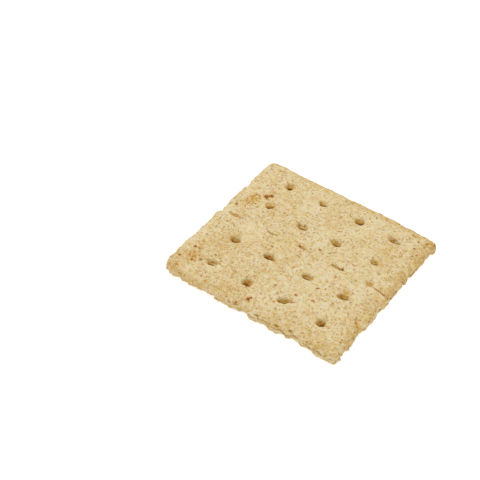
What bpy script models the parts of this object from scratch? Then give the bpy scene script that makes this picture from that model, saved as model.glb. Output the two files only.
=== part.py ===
# One square of graham cracker, baked flat: a gently pillowed top pricked with sixteen docker
# holes, a scored line across the middle where the sheet was perforated, and a cut rim whose
# lower crust stands out as a thin lip. It is one solid.
#
# Units are metres and +Z is up. The cracker lies on its flat underside at z = 0, with the origin
# under the middle of it. The scored line runs along X, and the front edge is the one at -Y.

import math
import random

import bmesh
import bpy
from mathutils import Matrix, Vector, noise

# Driving dimensions
SIDE = 0.0635  # across the square, from cut edge to cut edge
THICKNESS = 0.0042  # at the highest swell between the holes
CORNER_RADIUS = 0.0026

# Docker holes: four columns along X and four rows along Y, two on each side of the scored line
HOLE_PITCH = 0.0133
ROW_FROM_MIDDLE = 0.0093
HOLE_SHIFT = (0.0004, 0.0007)  # the pins struck this far off the middle of the square
HOLE_STRAY = 0.0002  # how far one pin strays from its row and column
PIN_RADIUS = 0.00135  # at the mouth of a hole
PIN_TIP_RADIUS = 0.00070
PIN_DEPTH = 0.0027
PIN_LEAN = 0.10  # radians
PIN_OVERSHOOT = 0.0006  # how far a cutting pin stands above the surface
PIN_SIDES = 10
DIMPLE_REACH = 0.0024  # how far round a hole the surface is drawn down
DIMPLE_DEPTH = 0.00042
PRICK_RADIUS = 0.00055  # where the tip of a pin marks the underside
PRICK_TIP_RADIUS = 0.0003
PRICK_DEPTH = 0.0004
PRICK_SIDES = 6
SHALLOW_HOLE = (0, 2)  # the column and row of a hole that closed up in the oven
SHALLOW_SHARE = 0.42  # its depth over the others'
SHALLOW_STRAY = 0.0011  # and how far behind its row it lies

# Scored line: short dashes halfway between the columns, and a long slit near the right edge
SCORE_FROM_MIDDLE = 0.0010
VALLEY_DEPTH = 0.0002
VALLEY_REACH = 0.0021
DASH_LENGTH = 0.0032
DASH_WIDTH = 0.00055
DASH_DEPTH = 0.0008
DASH_TAPER = 0.35  # the width at the bottom of a dash over the width at its top
DASH_SKEW = 0.10  # radians
DASH_OVERSHOOT = 0.0005
SLIT_LENGTH = 0.0052
SLIT_MIDDLE = (0.0282, -0.0002)
SLIT_SKEW = -0.17

# Rim, from the top down: how far inside the cut edge each row lies, and its height
RIM_ROWS = (
    (0.00095, 0.00326),
    (0.00048, 0.00284),
    (0.00022, 0.00230),
    (0.00018, 0.00178),
    (0.00030, 0.00152),  # the seam between the upper crust and the lip
    (0.00006, 0.00126),
    (0.00000, 0.00068),
    (0.00010, 0.00024),
    (0.00042, 0.00000),  # the edge of the flat underside
)
SEAM_ROW = 5
SEAM_DEPTH = 0.00040  # how much further in the seam goes where it has opened
SHOULDER_INSET = 0.0017  # the domed top ends this far inside the cut edge
SHOULDER_REACH = 0.0062  # and starts to fall this far inside it
SHOULDER_DROP = 0.00030
PULL_START = 0.55  # the top's cells are drawn in to the rim from this share of the way out

# Unevenness
TOP_CELLS = 48
SWELL_SIZE = 0.00017
SWELL_WAVES = 9
SWELL_LENGTHS = (0.009, 0.022)
PILLOW_SIZE = 0.00013  # how far the top rises between the holes
CRAG_SIZE = 0.00008
CRAG_SPACING = 0.0021
RAGGED_SIZE = 0.00022  # how far the cut edge wanders in and out
RAGGED_WAVES = 8
RAGGED_LENGTHS = (0.0036, 0.0110)
FLAKE_SIZE = 0.00020  # how much one row of the rim wanders from the next
FLAKE_LENGTHS = (0.0030, 0.0070)
BAKED_SEED = 1926

# Chips out of the cut edge: the side, the place along it, half the width, and the depth in the
# lip and in the crust above it
CHIPS = (
    ("front", -0.0175, 0.0170, 0.00080, 0.00012),
    ("front", 0.0066, 0.0016, 0.00045, 0.00020),
    ("front", 0.0126, 0.0016, 0.00060, 0.00030),
    ("front", 0.0168, 0.0026, 0.00100, 0.00060),
    ("front", 0.0226, 0.0022, 0.00050, 0.00030),
    ("right", -0.0180, 0.0020, 0.00060, 0.00050),
    ("right", -0.0052, 0.0014, 0.00060, 0.00045),
    ("right", 0.0014, 0.0012, 0.00040, 0.00035),
    ("right", 0.0082, 0.0013, 0.00035, 0.00035),
    ("right", 0.0135, 0.0013, 0.00035, 0.00030),
    ("back", 0.0040, 0.0022, 0.00030, 0.00040),
    ("back", 0.0200, 0.0030, 0.00040, 0.00040),
    ("left", 0.0012, 0.0014, 0.00050, 0.00040),
    ("left", -0.0120, 0.0022, 0.00045, 0.00035),
    ("left", 0.0170, 0.0020, 0.00045, 0.00040),
)

CRUST_COLOUR = (0.66, 0.50, 0.27, 1.0)
CRUST_ROUGHNESS = 0.85

HALF = SIDE / 2.0
STRAIGHT_HALF = HALF - CORNER_RADIUS
CROWN = THICKNESS - SWELL_SIZE - PILLOW_SIZE
HOLE_COLUMNS = tuple((column - 1.5) * HOLE_PITCH + HOLE_SHIFT[0] for column in range(4))
HOLE_ROWS = tuple(
    HOLE_SHIFT[1] + from_middle
    for from_middle in (
        -ROW_FROM_MIDDLE - HOLE_PITCH,
        -ROW_FROM_MIDDLE,
        ROW_FROM_MIDDLE,
        ROW_FROM_MIDDLE + HOLE_PITCH,
    )
)
DASH_PLACES = tuple(step * HOLE_PITCH + HOLE_SHIFT[0] for step in (-2, -1, 0, 1))


def smoothstep(value):
    """Ease from 0 to 1 as the value goes from 0 to 1."""
    value = min(max(value, 0.0), 1.0)
    return value * value * (3.0 - 2.0 * value)


def make_waves(chance, count, lengths):
    """Crossing waves of unlike lengths: wave numbers along X and Y, a phase and a share."""
    shortest, longest = lengths
    waves = []
    for _ in range(count):
        angle = chance.uniform(0.0, math.pi)
        length = chance.uniform(shortest, longest)
        phase = chance.uniform(0.0, 2.0 * math.pi)
        waves.append((math.cos(angle) / length, math.sin(angle) / length, phase, length / longest))
    return waves


def wave_height(waves, x, y):
    """The sum of the waves, kept between -1 and 1."""
    total = sum(
        share * math.sin(2.0 * math.pi * (x * per_x + y * per_y) + phase)
        for per_x, per_y, phase, share in waves
    )
    spread = 1.4 * math.sqrt(sum(share * share for _, _, _, share in waves))
    return min(max(total / spread, -1.0), 1.0)


def place_holes(chance):
    """Where each docker pin went in, and the share of its depth that stayed open."""
    holes = []
    for row, y in enumerate(HOLE_ROWS):
        for column, x in enumerate(HOLE_COLUMNS):
            stray_x = chance.uniform(-HOLE_STRAY, HOLE_STRAY)
            stray_y = chance.uniform(-HOLE_STRAY, HOLE_STRAY)
            share = chance.uniform(0.88, 1.04)
            if (column, row) == SHALLOW_HOLE:
                stray_y += SHALLOW_STRAY
                share = SHALLOW_SHARE
            holes.append((x + stray_x, y + stray_y, share))
    return holes


def round_corner(x, y):
    """A point of the square's edge, moved on to the outline with round corners."""
    beyond_x = abs(x) - STRAIGHT_HALF
    beyond_y = abs(y) - STRAIGHT_HALF
    if beyond_x <= 0.0 or beyond_y <= 0.0:
        return x, y
    turn = math.pi / 4.0 * (1.0 + (beyond_y - beyond_x) / CORNER_RADIUS)
    round_x = STRAIGHT_HALF + CORNER_RADIUS * math.cos(turn)
    round_y = STRAIGHT_HALF + CORNER_RADIUS * math.sin(turn)
    return math.copysign(round_x, x), math.copysign(round_y, y)


def outward(x, y):
    """The direction out of the cracker at a point of its edge."""
    beyond_x = math.copysign(max(abs(x) - STRAIGHT_HALF, 0.0), x)
    beyond_y = math.copysign(max(abs(y) - STRAIGHT_HALF, 0.0), y)
    return Vector((beyond_x, beyond_y)).normalized()


def chip_depth(x, y, in_lip):
    """How far the edge is chipped away at this place, in the lip or in the crust above it."""
    sides = {"front": (x, -y), "back": (x, y), "left": (y, -x), "right": (y, x)}
    depth = 0.0
    for side, place, half_width, lip_size, crust_size in CHIPS:
        along, across = sides[side]
        if across > STRAIGHT_HALF:
            size = lip_size if in_lip else crust_size
            depth = max(depth, size * smoothstep(2.0 - 2.0 * abs(along - place) / half_width))
    return depth


def rim_point(x, y, ragged, inset, in_lip):
    """A point of the square's edge carried on to the ragged outline, and in by the inset."""
    x, y = round_corner(x, y)
    wander = RAGGED_SIZE * (wave_height(ragged, x, y) - 1.0)
    edge = Vector((x, y)) + outward(x, y) * (wander - inset - chip_depth(x, y, in_lip))
    return edge.x, edge.y


def top_height(x, y, swells, holes):
    """The height of the top: swells, pillows, dimples, the scored valley and the shoulder."""
    pillow = math.cos(2.0 * math.pi * (x - HOLE_SHIFT[0]) / HOLE_PITCH)
    pillow *= math.cos(math.pi * (y - HOLE_SHIFT[1]) / ROW_FROM_MIDDLE)
    height = CROWN + SWELL_SIZE * wave_height(swells, x, y) + PILLOW_SIZE * pillow
    for hole_x, hole_y, share in holes:
        away = math.hypot(x - hole_x, y - hole_y)
        height -= DIMPLE_DEPTH * share * math.exp(-((away / DIMPLE_REACH) ** 2))
    height -= VALLEY_DEPTH * math.exp(-(((y - SCORE_FROM_MIDDLE) / VALLEY_REACH) ** 2))
    height += CRAG_SIZE * noise.noise(Vector((x, y, 0.0)) / CRAG_SPACING)
    inside = HALF - max(abs(x), abs(y)) - SHOULDER_INSET
    fall = 1.0 - min(max(inside, 0.0) / (SHOULDER_REACH - SHOULDER_INSET), 1.0)
    return height - SHOULDER_DROP * fall * fall


def make_block():
    """A block one unit high, its faces cut into cells; a vertex's height tells its row."""
    block = bmesh.new()
    bmesh.ops.create_cube(block, size=1.0, matrix=Matrix.Translation((0.0, 0.0, 0.5)))
    bmesh.ops.scale(block, vec=(SIDE, SIDE, 1.0), verts=block.verts)
    upright = [edge for edge in block.edges if abs(edge.verts[0].co.z - edge.verts[1].co.z) > 0.5]
    bmesh.ops.subdivide_edges(block, edges=upright, cuts=len(RIM_ROWS) - 1)
    level = [edge for edge in block.edges if abs(edge.verts[0].co.z - edge.verts[1].co.z) < 0.01]
    bmesh.ops.subdivide_edges(block, edges=level, cuts=TOP_CELLS - 1, use_grid_fill=True)
    underside = [face for face in block.faces if face.calc_center_median().z < 0.01]
    bmesh.ops.dissolve_faces(block, faces=underside)
    return block


def shape_top_vertex(x, y, ragged, swells, holes):
    """A vertex of the top: the outer cells are drawn in to the rim, and all of them lifted."""
    reach = max(abs(x), abs(y)) / HALF
    pull = smoothstep((reach - PULL_START) / (1.0 - PULL_START))
    if pull > 0.0:
        edge_x, edge_y = x / reach, y / reach
        rim_x, rim_y = rim_point(edge_x, edge_y, ragged, SHOULDER_INSET, in_lip=False)
        x += (rim_x - edge_x) * pull
        y += (rim_y - edge_y) * pull
    return x, y, top_height(x, y, swells, holes)


def shape_rim_vertex(x, y, row, ragged, flaky, seam):
    """A vertex of the rim: its row's inset and height, the flaky edge, and the open seam."""
    inset, height = RIM_ROWS[row - 1]
    inset += FLAKE_SIZE * (1.0 - wave_height(flaky[row - 1], x, y)) / 2.0
    if row == SEAM_ROW:
        inset += SEAM_DEPTH * smoothstep(0.5 + wave_height(seam, x, y))
    return *rim_point(x, y, ragged, inset, in_lip=row >= SEAM_ROW), height


def settle(block):
    """Move the block so that the middle of its box is over the origin, and return the move."""
    lows = Vector([min(vert.co[axis] for vert in block.verts) for axis in range(3)])
    highs = Vector([max(vert.co[axis] for vert in block.verts) for axis in range(3)])
    move = -(lows + highs) / 2.0
    move.z = 0.0
    bmesh.ops.translate(block, vec=move, verts=block.verts)
    return move


def add_cone(cutters, centre, lean, lower_radius, upper_radius, height, sides):
    """One tapered peg, leaning about its own middle."""
    bmesh.ops.create_cone(
        cutters,
        cap_ends=True,
        segments=sides,
        radius1=lower_radius,
        radius2=upper_radius,
        depth=height,
        matrix=Matrix.Translation(centre) @ lean.to_4x4(),
    )


def make_pins(chance, holes, swells, move):
    """The docker pins: sixteen blunt tapers, each a little unlike and a little out of true."""
    pins = bmesh.new()
    for x, y, share in holes:
        mouth = top_height(x, y, swells, ()) - DIMPLE_DEPTH * share
        depth = PIN_DEPTH * share
        radius = PIN_RADIUS * chance.uniform(0.90, 1.10)
        axis = Vector((chance.uniform(-1.0, 1.0), chance.uniform(-1.0, 1.0), 0.0))
        lean = Matrix.Rotation(chance.uniform(0.0, PIN_LEAN), 3, axis.normalized())
        centre = Vector((x, y, mouth + (PIN_OVERSHOOT - depth) / 2.0)) + move
        add_cone(pins, centre, lean, PIN_TIP_RADIUS, radius, depth + PIN_OVERSHOOT, PIN_SIDES)
    return pins


def make_pricks(holes, move):
    """The small marks that the pins' tips leave in the flat underside."""
    pricks = bmesh.new()
    upright = Matrix.Identity(3)
    for x, y, _ in holes:
        centre = Vector((x, y, 0.0)) + move
        height = 2.0 * PRICK_DEPTH
        add_cone(pricks, centre, upright, PRICK_RADIUS, PRICK_TIP_RADIUS, height, PRICK_SIDES)
    return pricks


def add_blade(blades, x, y, length, skew, swells, move):
    """One perforating blade: a bar that narrows downwards, turned a little off the line."""
    height = DASH_DEPTH + DASH_OVERSHOOT
    surface = top_height(x, y, swells, ())
    centre = Vector((x, y, surface + DASH_OVERSHOOT - height / 2.0)) + move
    bar = bmesh.ops.create_cube(blades, size=1.0)["verts"]
    for vert in bar:
        narrow = DASH_TAPER if vert.co.z < 0.0 else 1.0
        vert.co = (vert.co.x * length, vert.co.y * DASH_WIDTH * narrow, vert.co.z * height)
    turned = Matrix.Translation(centre) @ Matrix.Rotation(skew, 4, "Z")
    bmesh.ops.transform(blades, matrix=turned, verts=bar)


def make_blades(chance, swells, move):
    """The scored line's blades: a dash between each two columns, and the long slit."""
    blades = bmesh.new()
    for x in DASH_PLACES:
        skew = chance.uniform(-DASH_SKEW, DASH_SKEW)
        add_blade(blades, x, SCORE_FROM_MIDDLE, DASH_LENGTH, skew, swells, move)
    add_blade(blades, *SLIT_MIDDLE, SLIT_LENGTH, SLIT_SKEW, swells, move)
    return blades


def make_crust():
    """The baked crust: pale tan and quite matt."""
    crust = bpy.data.materials.new("crust")
    crust.use_nodes = True
    shader = crust.node_tree.nodes["Principled BSDF"]
    shader.inputs["Base Color"].default_value = CRUST_COLOUR
    shader.inputs["Roughness"].default_value = CRUST_ROUGHNESS
    shader.inputs["Metallic"].default_value = 0.0
    crust.diffuse_color = CRUST_COLOUR
    return crust


def make_collection(name):
    """A collection of that name in the scene."""
    collection = bpy.data.collections.new(name)
    bpy.context.scene.collection.children.link(collection)
    return collection


def add_object(name, shape, collection):
    """Put a finished shape in a named object of the collection."""
    mesh = bpy.data.meshes.new(name)
    shape.to_mesh(mesh)
    shape.free()
    piece = bpy.data.objects.new(name, mesh)
    collection.objects.link(piece)
    return piece


def cut(cracker, name, shape, collection):
    """Cut the shape out of the cracker."""
    cutter = add_object(name, shape, collection)
    cutter.hide_render = True
    cutter.display_type = "WIRE"
    difference = cracker.modifiers.new(name, "BOOLEAN")
    difference.operation = "DIFFERENCE"
    difference.object = cutter


def make_cracker():
    """The whole cracker: the shaped block, then the pins, their tips and the blades cut out."""
    chance = random.Random(BAKED_SEED)
    swells = make_waves(chance, SWELL_WAVES, SWELL_LENGTHS)
    ragged = make_waves(chance, RAGGED_WAVES, RAGGED_LENGTHS)
    seam = make_waves(chance, RAGGED_WAVES, RAGGED_LENGTHS)
    flaky = [make_waves(chance, RAGGED_WAVES, FLAKE_LENGTHS) for _ in RIM_ROWS]
    holes = place_holes(chance)

    block = make_block()
    for vert in block.verts:
        x, y, level = vert.co
        row = round((1.0 - level) * len(RIM_ROWS))
        if row == 0:
            vert.co = shape_top_vertex(x, y, ragged, swells, holes)
        else:
            vert.co = shape_rim_vertex(x, y, row, ragged, flaky, seam)
    move = settle(block)
    block.normal_update()

    cracker = add_object("cracker", block, make_collection("graham_cracker"))
    cracker.data.materials.append(make_crust())
    cutters = make_collection("cutters")
    cut(cracker, "docker_pins", make_pins(chance, holes, swells, move), cutters)
    cut(cracker, "pin_tips", make_pricks(holes, move), cutters)
    cut(cracker, "score_blades", make_blades(chance, swells, move), cutters)


for leftover in list(bpy.data.objects):
    bpy.data.objects.remove(leftover, do_unlink=True)
make_cracker()
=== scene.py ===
# One square of graham cracker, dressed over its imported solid: a fine crust with docker holes, a
# scored line and a flaky rim, and the bran flakes, toasted blisters and crumbs that sit in it.
# Lengths are in metres, and most values below are written in millimetres times mm.

import math
import random

import bmesh
import bpy
import numpy as np
from mathutils import Matrix, Vector


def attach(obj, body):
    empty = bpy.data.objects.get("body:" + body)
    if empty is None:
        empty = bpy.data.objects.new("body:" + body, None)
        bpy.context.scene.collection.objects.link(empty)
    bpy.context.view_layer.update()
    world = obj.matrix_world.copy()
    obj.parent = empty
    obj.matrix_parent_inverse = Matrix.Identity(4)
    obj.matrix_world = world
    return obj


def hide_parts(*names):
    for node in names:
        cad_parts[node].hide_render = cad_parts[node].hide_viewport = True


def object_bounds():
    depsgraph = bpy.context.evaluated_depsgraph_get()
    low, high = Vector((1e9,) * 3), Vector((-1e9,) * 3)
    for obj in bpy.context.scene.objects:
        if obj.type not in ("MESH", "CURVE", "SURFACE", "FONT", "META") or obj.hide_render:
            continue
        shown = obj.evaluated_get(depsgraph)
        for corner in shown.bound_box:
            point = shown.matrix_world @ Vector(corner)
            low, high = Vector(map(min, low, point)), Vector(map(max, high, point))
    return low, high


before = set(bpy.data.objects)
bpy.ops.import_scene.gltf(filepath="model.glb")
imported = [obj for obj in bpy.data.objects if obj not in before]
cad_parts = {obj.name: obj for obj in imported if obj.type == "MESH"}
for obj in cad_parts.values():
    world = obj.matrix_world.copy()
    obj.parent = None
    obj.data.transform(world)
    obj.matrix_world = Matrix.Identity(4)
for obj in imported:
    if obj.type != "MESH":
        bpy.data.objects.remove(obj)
cadBox = [list(corner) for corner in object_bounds()]
mm = 0.001


# Helpers on whole arrays

def smooth(value):
    # Eases from 0 to 1 as the value goes from 0 to 1: three squares less two cubes.
    value = np.clip(value, 0.0, 1.0)
    return value * value * (3.0 - 2.0 * value)


def bell(distance, reach):
    # A round hump: one in the middle, and e to the minus one at the reach.
    return np.exp(-(distance / reach) ** 2)


def latticeNoise(points, seed):
    # Every corner of a unit lattice has a random direction. The noise is the eased blend, over a
    # cell, of each corner's direction dotted with the way from that corner to the point.
    chance = np.random.default_rng(seed)
    shuffled = chance.permutation(256)
    ways = chance.normal(size=(256, 3))
    ways /= np.linalg.norm(ways, axis=1, keepdims=True)
    cell = np.floor(points).astype(np.int64)
    part = points - cell
    eased = part ** 3 * (part * (part * 6.0 - 15.0) + 10.0)
    total = np.zeros(len(points))
    for corner in np.ndindex(2, 2, 2):
        at = (cell + corner) & 255
        pick = shuffled[(shuffled[(shuffled[at[:, 0]] + at[:, 1]) & 255] + at[:, 2]) & 255]
        share = np.prod(np.where(np.array(corner) == 1, eased, 1.0 - eased), axis=1)
        total += share * np.sum(ways[pick] * (part - corner), axis=1)
    return total * 1.7


def grainNoise(points, seed):
    # Every lattice cell holds one grain at a random place; the value is the distance to the nearest.
    chance = np.random.default_rng(seed)
    shuffled = chance.permutation(256)
    places = chance.random(size=(256, 3))
    cell = np.floor(points).astype(np.int64)
    nearest = np.full(len(points), 9.0)
    for step in np.ndindex(3, 3, 3):
        neighbour = cell + np.array(step) - 1
        at = neighbour & 255
        pick = shuffled[(shuffled[(shuffled[at[:, 0]] + at[:, 1]) & 255] + at[:, 2]) & 255]
        away = np.linalg.norm(neighbour + places[pick] - points, axis=1)
        nearest = np.minimum(nearest, away)
    return nearest


def columns(*parts):
    # Arrays side by side: a row for each point.
    return np.stack(parts, axis=-1)


def flat(x, y, spacing):
    # Points of the plane, counted in the spacing, for a noise to read.
    return columns(x / spacing, y / spacing, np.full_like(x, 0.37))


def ripple(x, y, spacing, seed):
    # The lattice noise over the plane.
    return latticeNoise(flat(x, y, spacing), seed)


def turned(x, y, turn):
    # How far along and across a way that lies so many radians from X.
    return x * math.cos(turn) + y * math.sin(turn), y * math.cos(turn) - x * math.sin(turn)


# The baked form, as the solid has it

square = {
    "side": 63.5 * mm,
    "thickness": 4.2 * mm,
    "cornerRadius": 2.6 * mm,
    "bakedSeed": 1926,
    "swellSize": 0.17 * mm,  # long swells of the top
    "swellWaves": 9,
    "swellLengths": (9.0 * mm, 22.0 * mm),
    "pillowSize": 0.13 * mm,  # how far the top rises between the holes
    "pillowSpacing": (13.3 * mm, 18.6 * mm),
    "pillowShift": (0.4 * mm, 0.7 * mm),
    "cragSize": 0.08 * mm,
    "cragSpacing": 2.1 * mm,
    "cragSeed": 19,
    "raggedSize": 0.22 * mm,  # how far the cut edge wanders
    "raggedWaves": 8,
    "raggedLengths": (3.6 * mm, 11.0 * mm),
    "flakeSize": 0.2 * mm,  # how much one layer of the rim wanders from the next
    "flakeLengths": (3.0 * mm, 7.0 * mm),
}
half = square["side"] / 2.0
straightHalf = half - square["cornerRadius"]
crown = square["thickness"] - square["swellSize"] - square["pillowSize"]

rim = {
    # from the top down: how far inside the cut edge each layer lies, and its height
    "layers": (
        (0.85 * mm, 3.4 * mm),
        (0.38 * mm, 3.02 * mm),
        (0.12 * mm, 2.48 * mm),
        (0.1 * mm, 1.92 * mm),
        (0.28 * mm, 1.6 * mm),  # the seam between the upper crust and the lip
        (0.04 * mm, 1.32 * mm),
        (0.0 * mm, 0.82 * mm),
        (0.22 * mm, 0.36 * mm),
        (0.8 * mm, 0.0 * mm),
    ),
    "seamLayer": 5,
    "seamDepth": 0.55 * mm,
    "shoulderInset": 1.7 * mm,  # the domed top ends here
    "shoulderReach": 6.2 * mm,
    "shoulderDrop": 0.3 * mm,
    "layerWander": 0.2 * mm,  # how far the layers between top and foot rise and fall
    "pullStart": 0.55,
    "nickSize": 0.24 * mm,
    "calm": 0.55,  # how much smoother the cut edge is towards the back
    "nickSpacing": 1.05 * mm,
    "chipSpacings": (2.2 * mm, 0.9 * mm),  # of the noises that vary the chips
    "creviceWidth": 0.34,  # in layers
    "creviceWander": (0.35, 0.9 * mm),  # how far they rise and fall, in layers, and how fast
}

# Chips out of the cut edge at each side or corner, in millimetres: the place along it, half the width,
# how soft the ends are, and the depth in the lip and in the crust above. Below zero it stands out.
chips = {
    "front": (
        (-20.5, 12.5, 1.5, 0.8, 0.12), (-6.2, 0.9, 0.7, -0.25, -0.05), (-5, 3.2, 1.5, 0.35, 0.05),
        (-1.3, 1.9, 1.2, 1, 0.45), (-8, 1.2, 0.8, 0.35, 0.1), (1.3, 1.2, 1, -0.25, -0.05),
        (4, 0.9, 0.7, 0.28, 0.05), (5.6, 2, 1, 0.35, 0.25), (6.6, 1.6, 0.8, 0.45, 0.2),
        (11, 1.1, 0.9, -0.22, -0.08), (12.6, 1.7, 1, 0.48, 0.3), (15, 0.8, 0.7, 0.28, 0.1),
        (17.1, 2.3, 1.4, 0.78, 0.5), (18.5, 4, 1.5, 0.46, 0.28), (22.5, 1.9, 1.4, 0.28, 0.22),
        (24.5, 1.4, 1, -0.28, -0.15), (27.6, 4, 1.2, -0.45, -0.25), (31.2, 1.1, 0.9, 0.18, 0.12),
    ),
    "right": (
        (-30, 1.9, 0.9, -0.5, -0.4), (-28.2, 0.9, 0.6, 0.22, 0.15), (-25.7, 1.7, 0.9, 0.52, 0.42),
        (-24.4, 1.2, 0.9, -0.3, -0.2), (-22.1, 1.1, 0.8, -0.4, -0.25), (-18, 2, 0.8, 0.44, 0.36),
        (-15.5, 1.5, 0.8, 0.64, 0.46), (-9.2, 2.4, 1, -0.28, -0.22), (-5.4, 1.3, 0.7, 0.38, 0.3),
        (-2.2, 1, 0.7, -0.35, -0.25), (-0.1, 0.9, 0.6, -0.28, -0.22), (1.2, 1.1, 0.6, 0.46, 0.36),
        (5.4, 1.7, 1, -0.2, -0.15), (9.8, 0.9, 0.6, 1.1, 0.7), (11.1, 0.7, 0.5, -0.22, -0.15),
        (13.5, 1.3, 0.6, 0.35, 0.3), (16, 2.2, 1.5, -0.2, -0.15), (21.8, 1, 0.9, -0.12, -0.1),
        (24, 1.6, 1.2, 0.22, 0.22), (27.4, 1, 0.7, 0.3, 0.28), (29.4, 2.5, 1.8, -0.58, -0.58),
    ),
    "back": (
        (7.5, 7.5, 2, -0.28, -0.28), (12.8, 3.8, 2, -0.42, -0.42), (3.4, 1.6, 1.2, -0.2, -0.2),
        (11.2, 1.1, 0.8, 0.28, 0.28), (16.5, 2.2, 1.5, -0.38, -0.38), (25.2, 1.8, 1, 0.28, 0.28),
        (30.6, 3, 2.4, 0.3, 0.3),
    ),
    "left": (
        (-13, 15, 2, -0.25, -0.25), (1.2, 1.4, 0.6, 0.5, 0.4), (-12, 2.2, 1, 0.45, 0.35),
        (17, 2, 1, 0.45, 0.4),
    ),
    "frontLeft": (
        (0, 5, 4.5, 1.2, 1.1),
    ),
    "frontRight": (
        (0, 3, 2.5, -0.1, -0.08),
    ),
    "backRight": (
        (0, 3.4, 3, -0.12, -0.12),
    ),
}

# Crevices where the layers of the cut edge part, at each side: the place along it in millimetres, the
# layer they lie at, half the length and how deep they go in, in millimetres; below zero it is a ridge.
# The material paints the crevices darker and browner, as shade with toasting, and the ridges paler.
crevices = {
    "front": (
        (-24, 4.6, 1.6, 0.3), (-14.5, 5, 1.4, 0.3), (-8.1, 1.2, 0.5, 0.3), (-4.4, 2, 0.7, 0.4),
        (-6.6, 2.4, 0.4, 0.3), (3.3, 1.8, 0.9, 0.45), (4.3, 5.75, 2.3, -0.24), (6.6, 3.4, 2.4, 0.38),
        (8.2, 2, 0.32, 0.34), (10.6, 2.1, 0.8, 0.48), (10.6, 5.75, 1.7, -0.22), (12.2, 3.6, 1.6, 0.38),
        (15.1, 0.9, 0.5, 0.3), (14.4, 4.8, 0.8, 0.45), (17.2, 3.5, 1.7, 0.5), (20.8, 4.3, 0.9, 0.28),
        (25.4, 3.6, 1.5, 0.26), (26.5, 5.75, 2.4, -0.16), (29.8, 4.6, 0.8, 0.38),
    ),
    "right": (
        (-28.4, 5, 1.2, 0.4), (-20.9, 3.2, 0.8, 0.4), (-19, 1.6, 0.5, 0.3), (-11.9, 3, 0.7, 0.45),
        (-3.4, 5, 1.5, 0.35), (5.6, 5, 2.2, 0.45), (11.1, 4.6, 0.5, 0.4), (15.6, 5.8, 2.3, 0.4),
        (18, 1, 8.5, 0.12), (7.5, 0.6, 3.5, 0.1), (29.8, 5.6, 1, 0.4),
    ),
    "back": (
        (-22, 3.4, 1.6, 0.4), (-6, 4.4, 1.2, 0.45), (9, 3.6, 1.5, 0.4), (23, 4.4, 1.6, 0.4),
    ),
    "left": (
        (-23, 3.4, 1.2, 0.45), (-5, 4.4, 1.5, 0.45), (9, 2.8, 1, 0.4), (24, 3.6, 1.4, 0.45),
    ),
}


def makeWaves(chance, count, lengths):
    # Crossing waves of unlike lengths, a row each: wave numbers along X and Y, phase and share.
    waves = []
    for _ in range(count):
        angle = chance.uniform(0.0, math.pi)
        length = chance.uniform(*lengths)
        phase = chance.uniform(0.0, 2.0 * math.pi)
        waves.append((math.cos(angle) / length, math.sin(angle) / length, phase, length / lengths[1]))
    return np.array(waves)


def waveHeight(waves, x, y):
    # The shares times the sines of the phases, summed, and kept between -1 and 1.
    total = sum(share * np.sin(2.0 * math.pi * (x * perX + y * perY) + phase)
                for perX, perY, phase, share in waves)
    return np.clip(total / (1.4 * math.sqrt(np.sum(waves[:, 3] ** 2))), -1.0, 1.0)


chance = random.Random(square["bakedSeed"])
swells = makeWaves(chance, square["swellWaves"], square["swellLengths"])
ragged = makeWaves(chance, square["raggedWaves"], square["raggedLengths"])
seamWaves = makeWaves(chance, square["raggedWaves"], square["raggedLengths"])
flaky = [makeWaves(chance, square["raggedWaves"], square["flakeLengths"]) for _ in rim["layers"]]


# What was pressed and baked into the top

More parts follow.
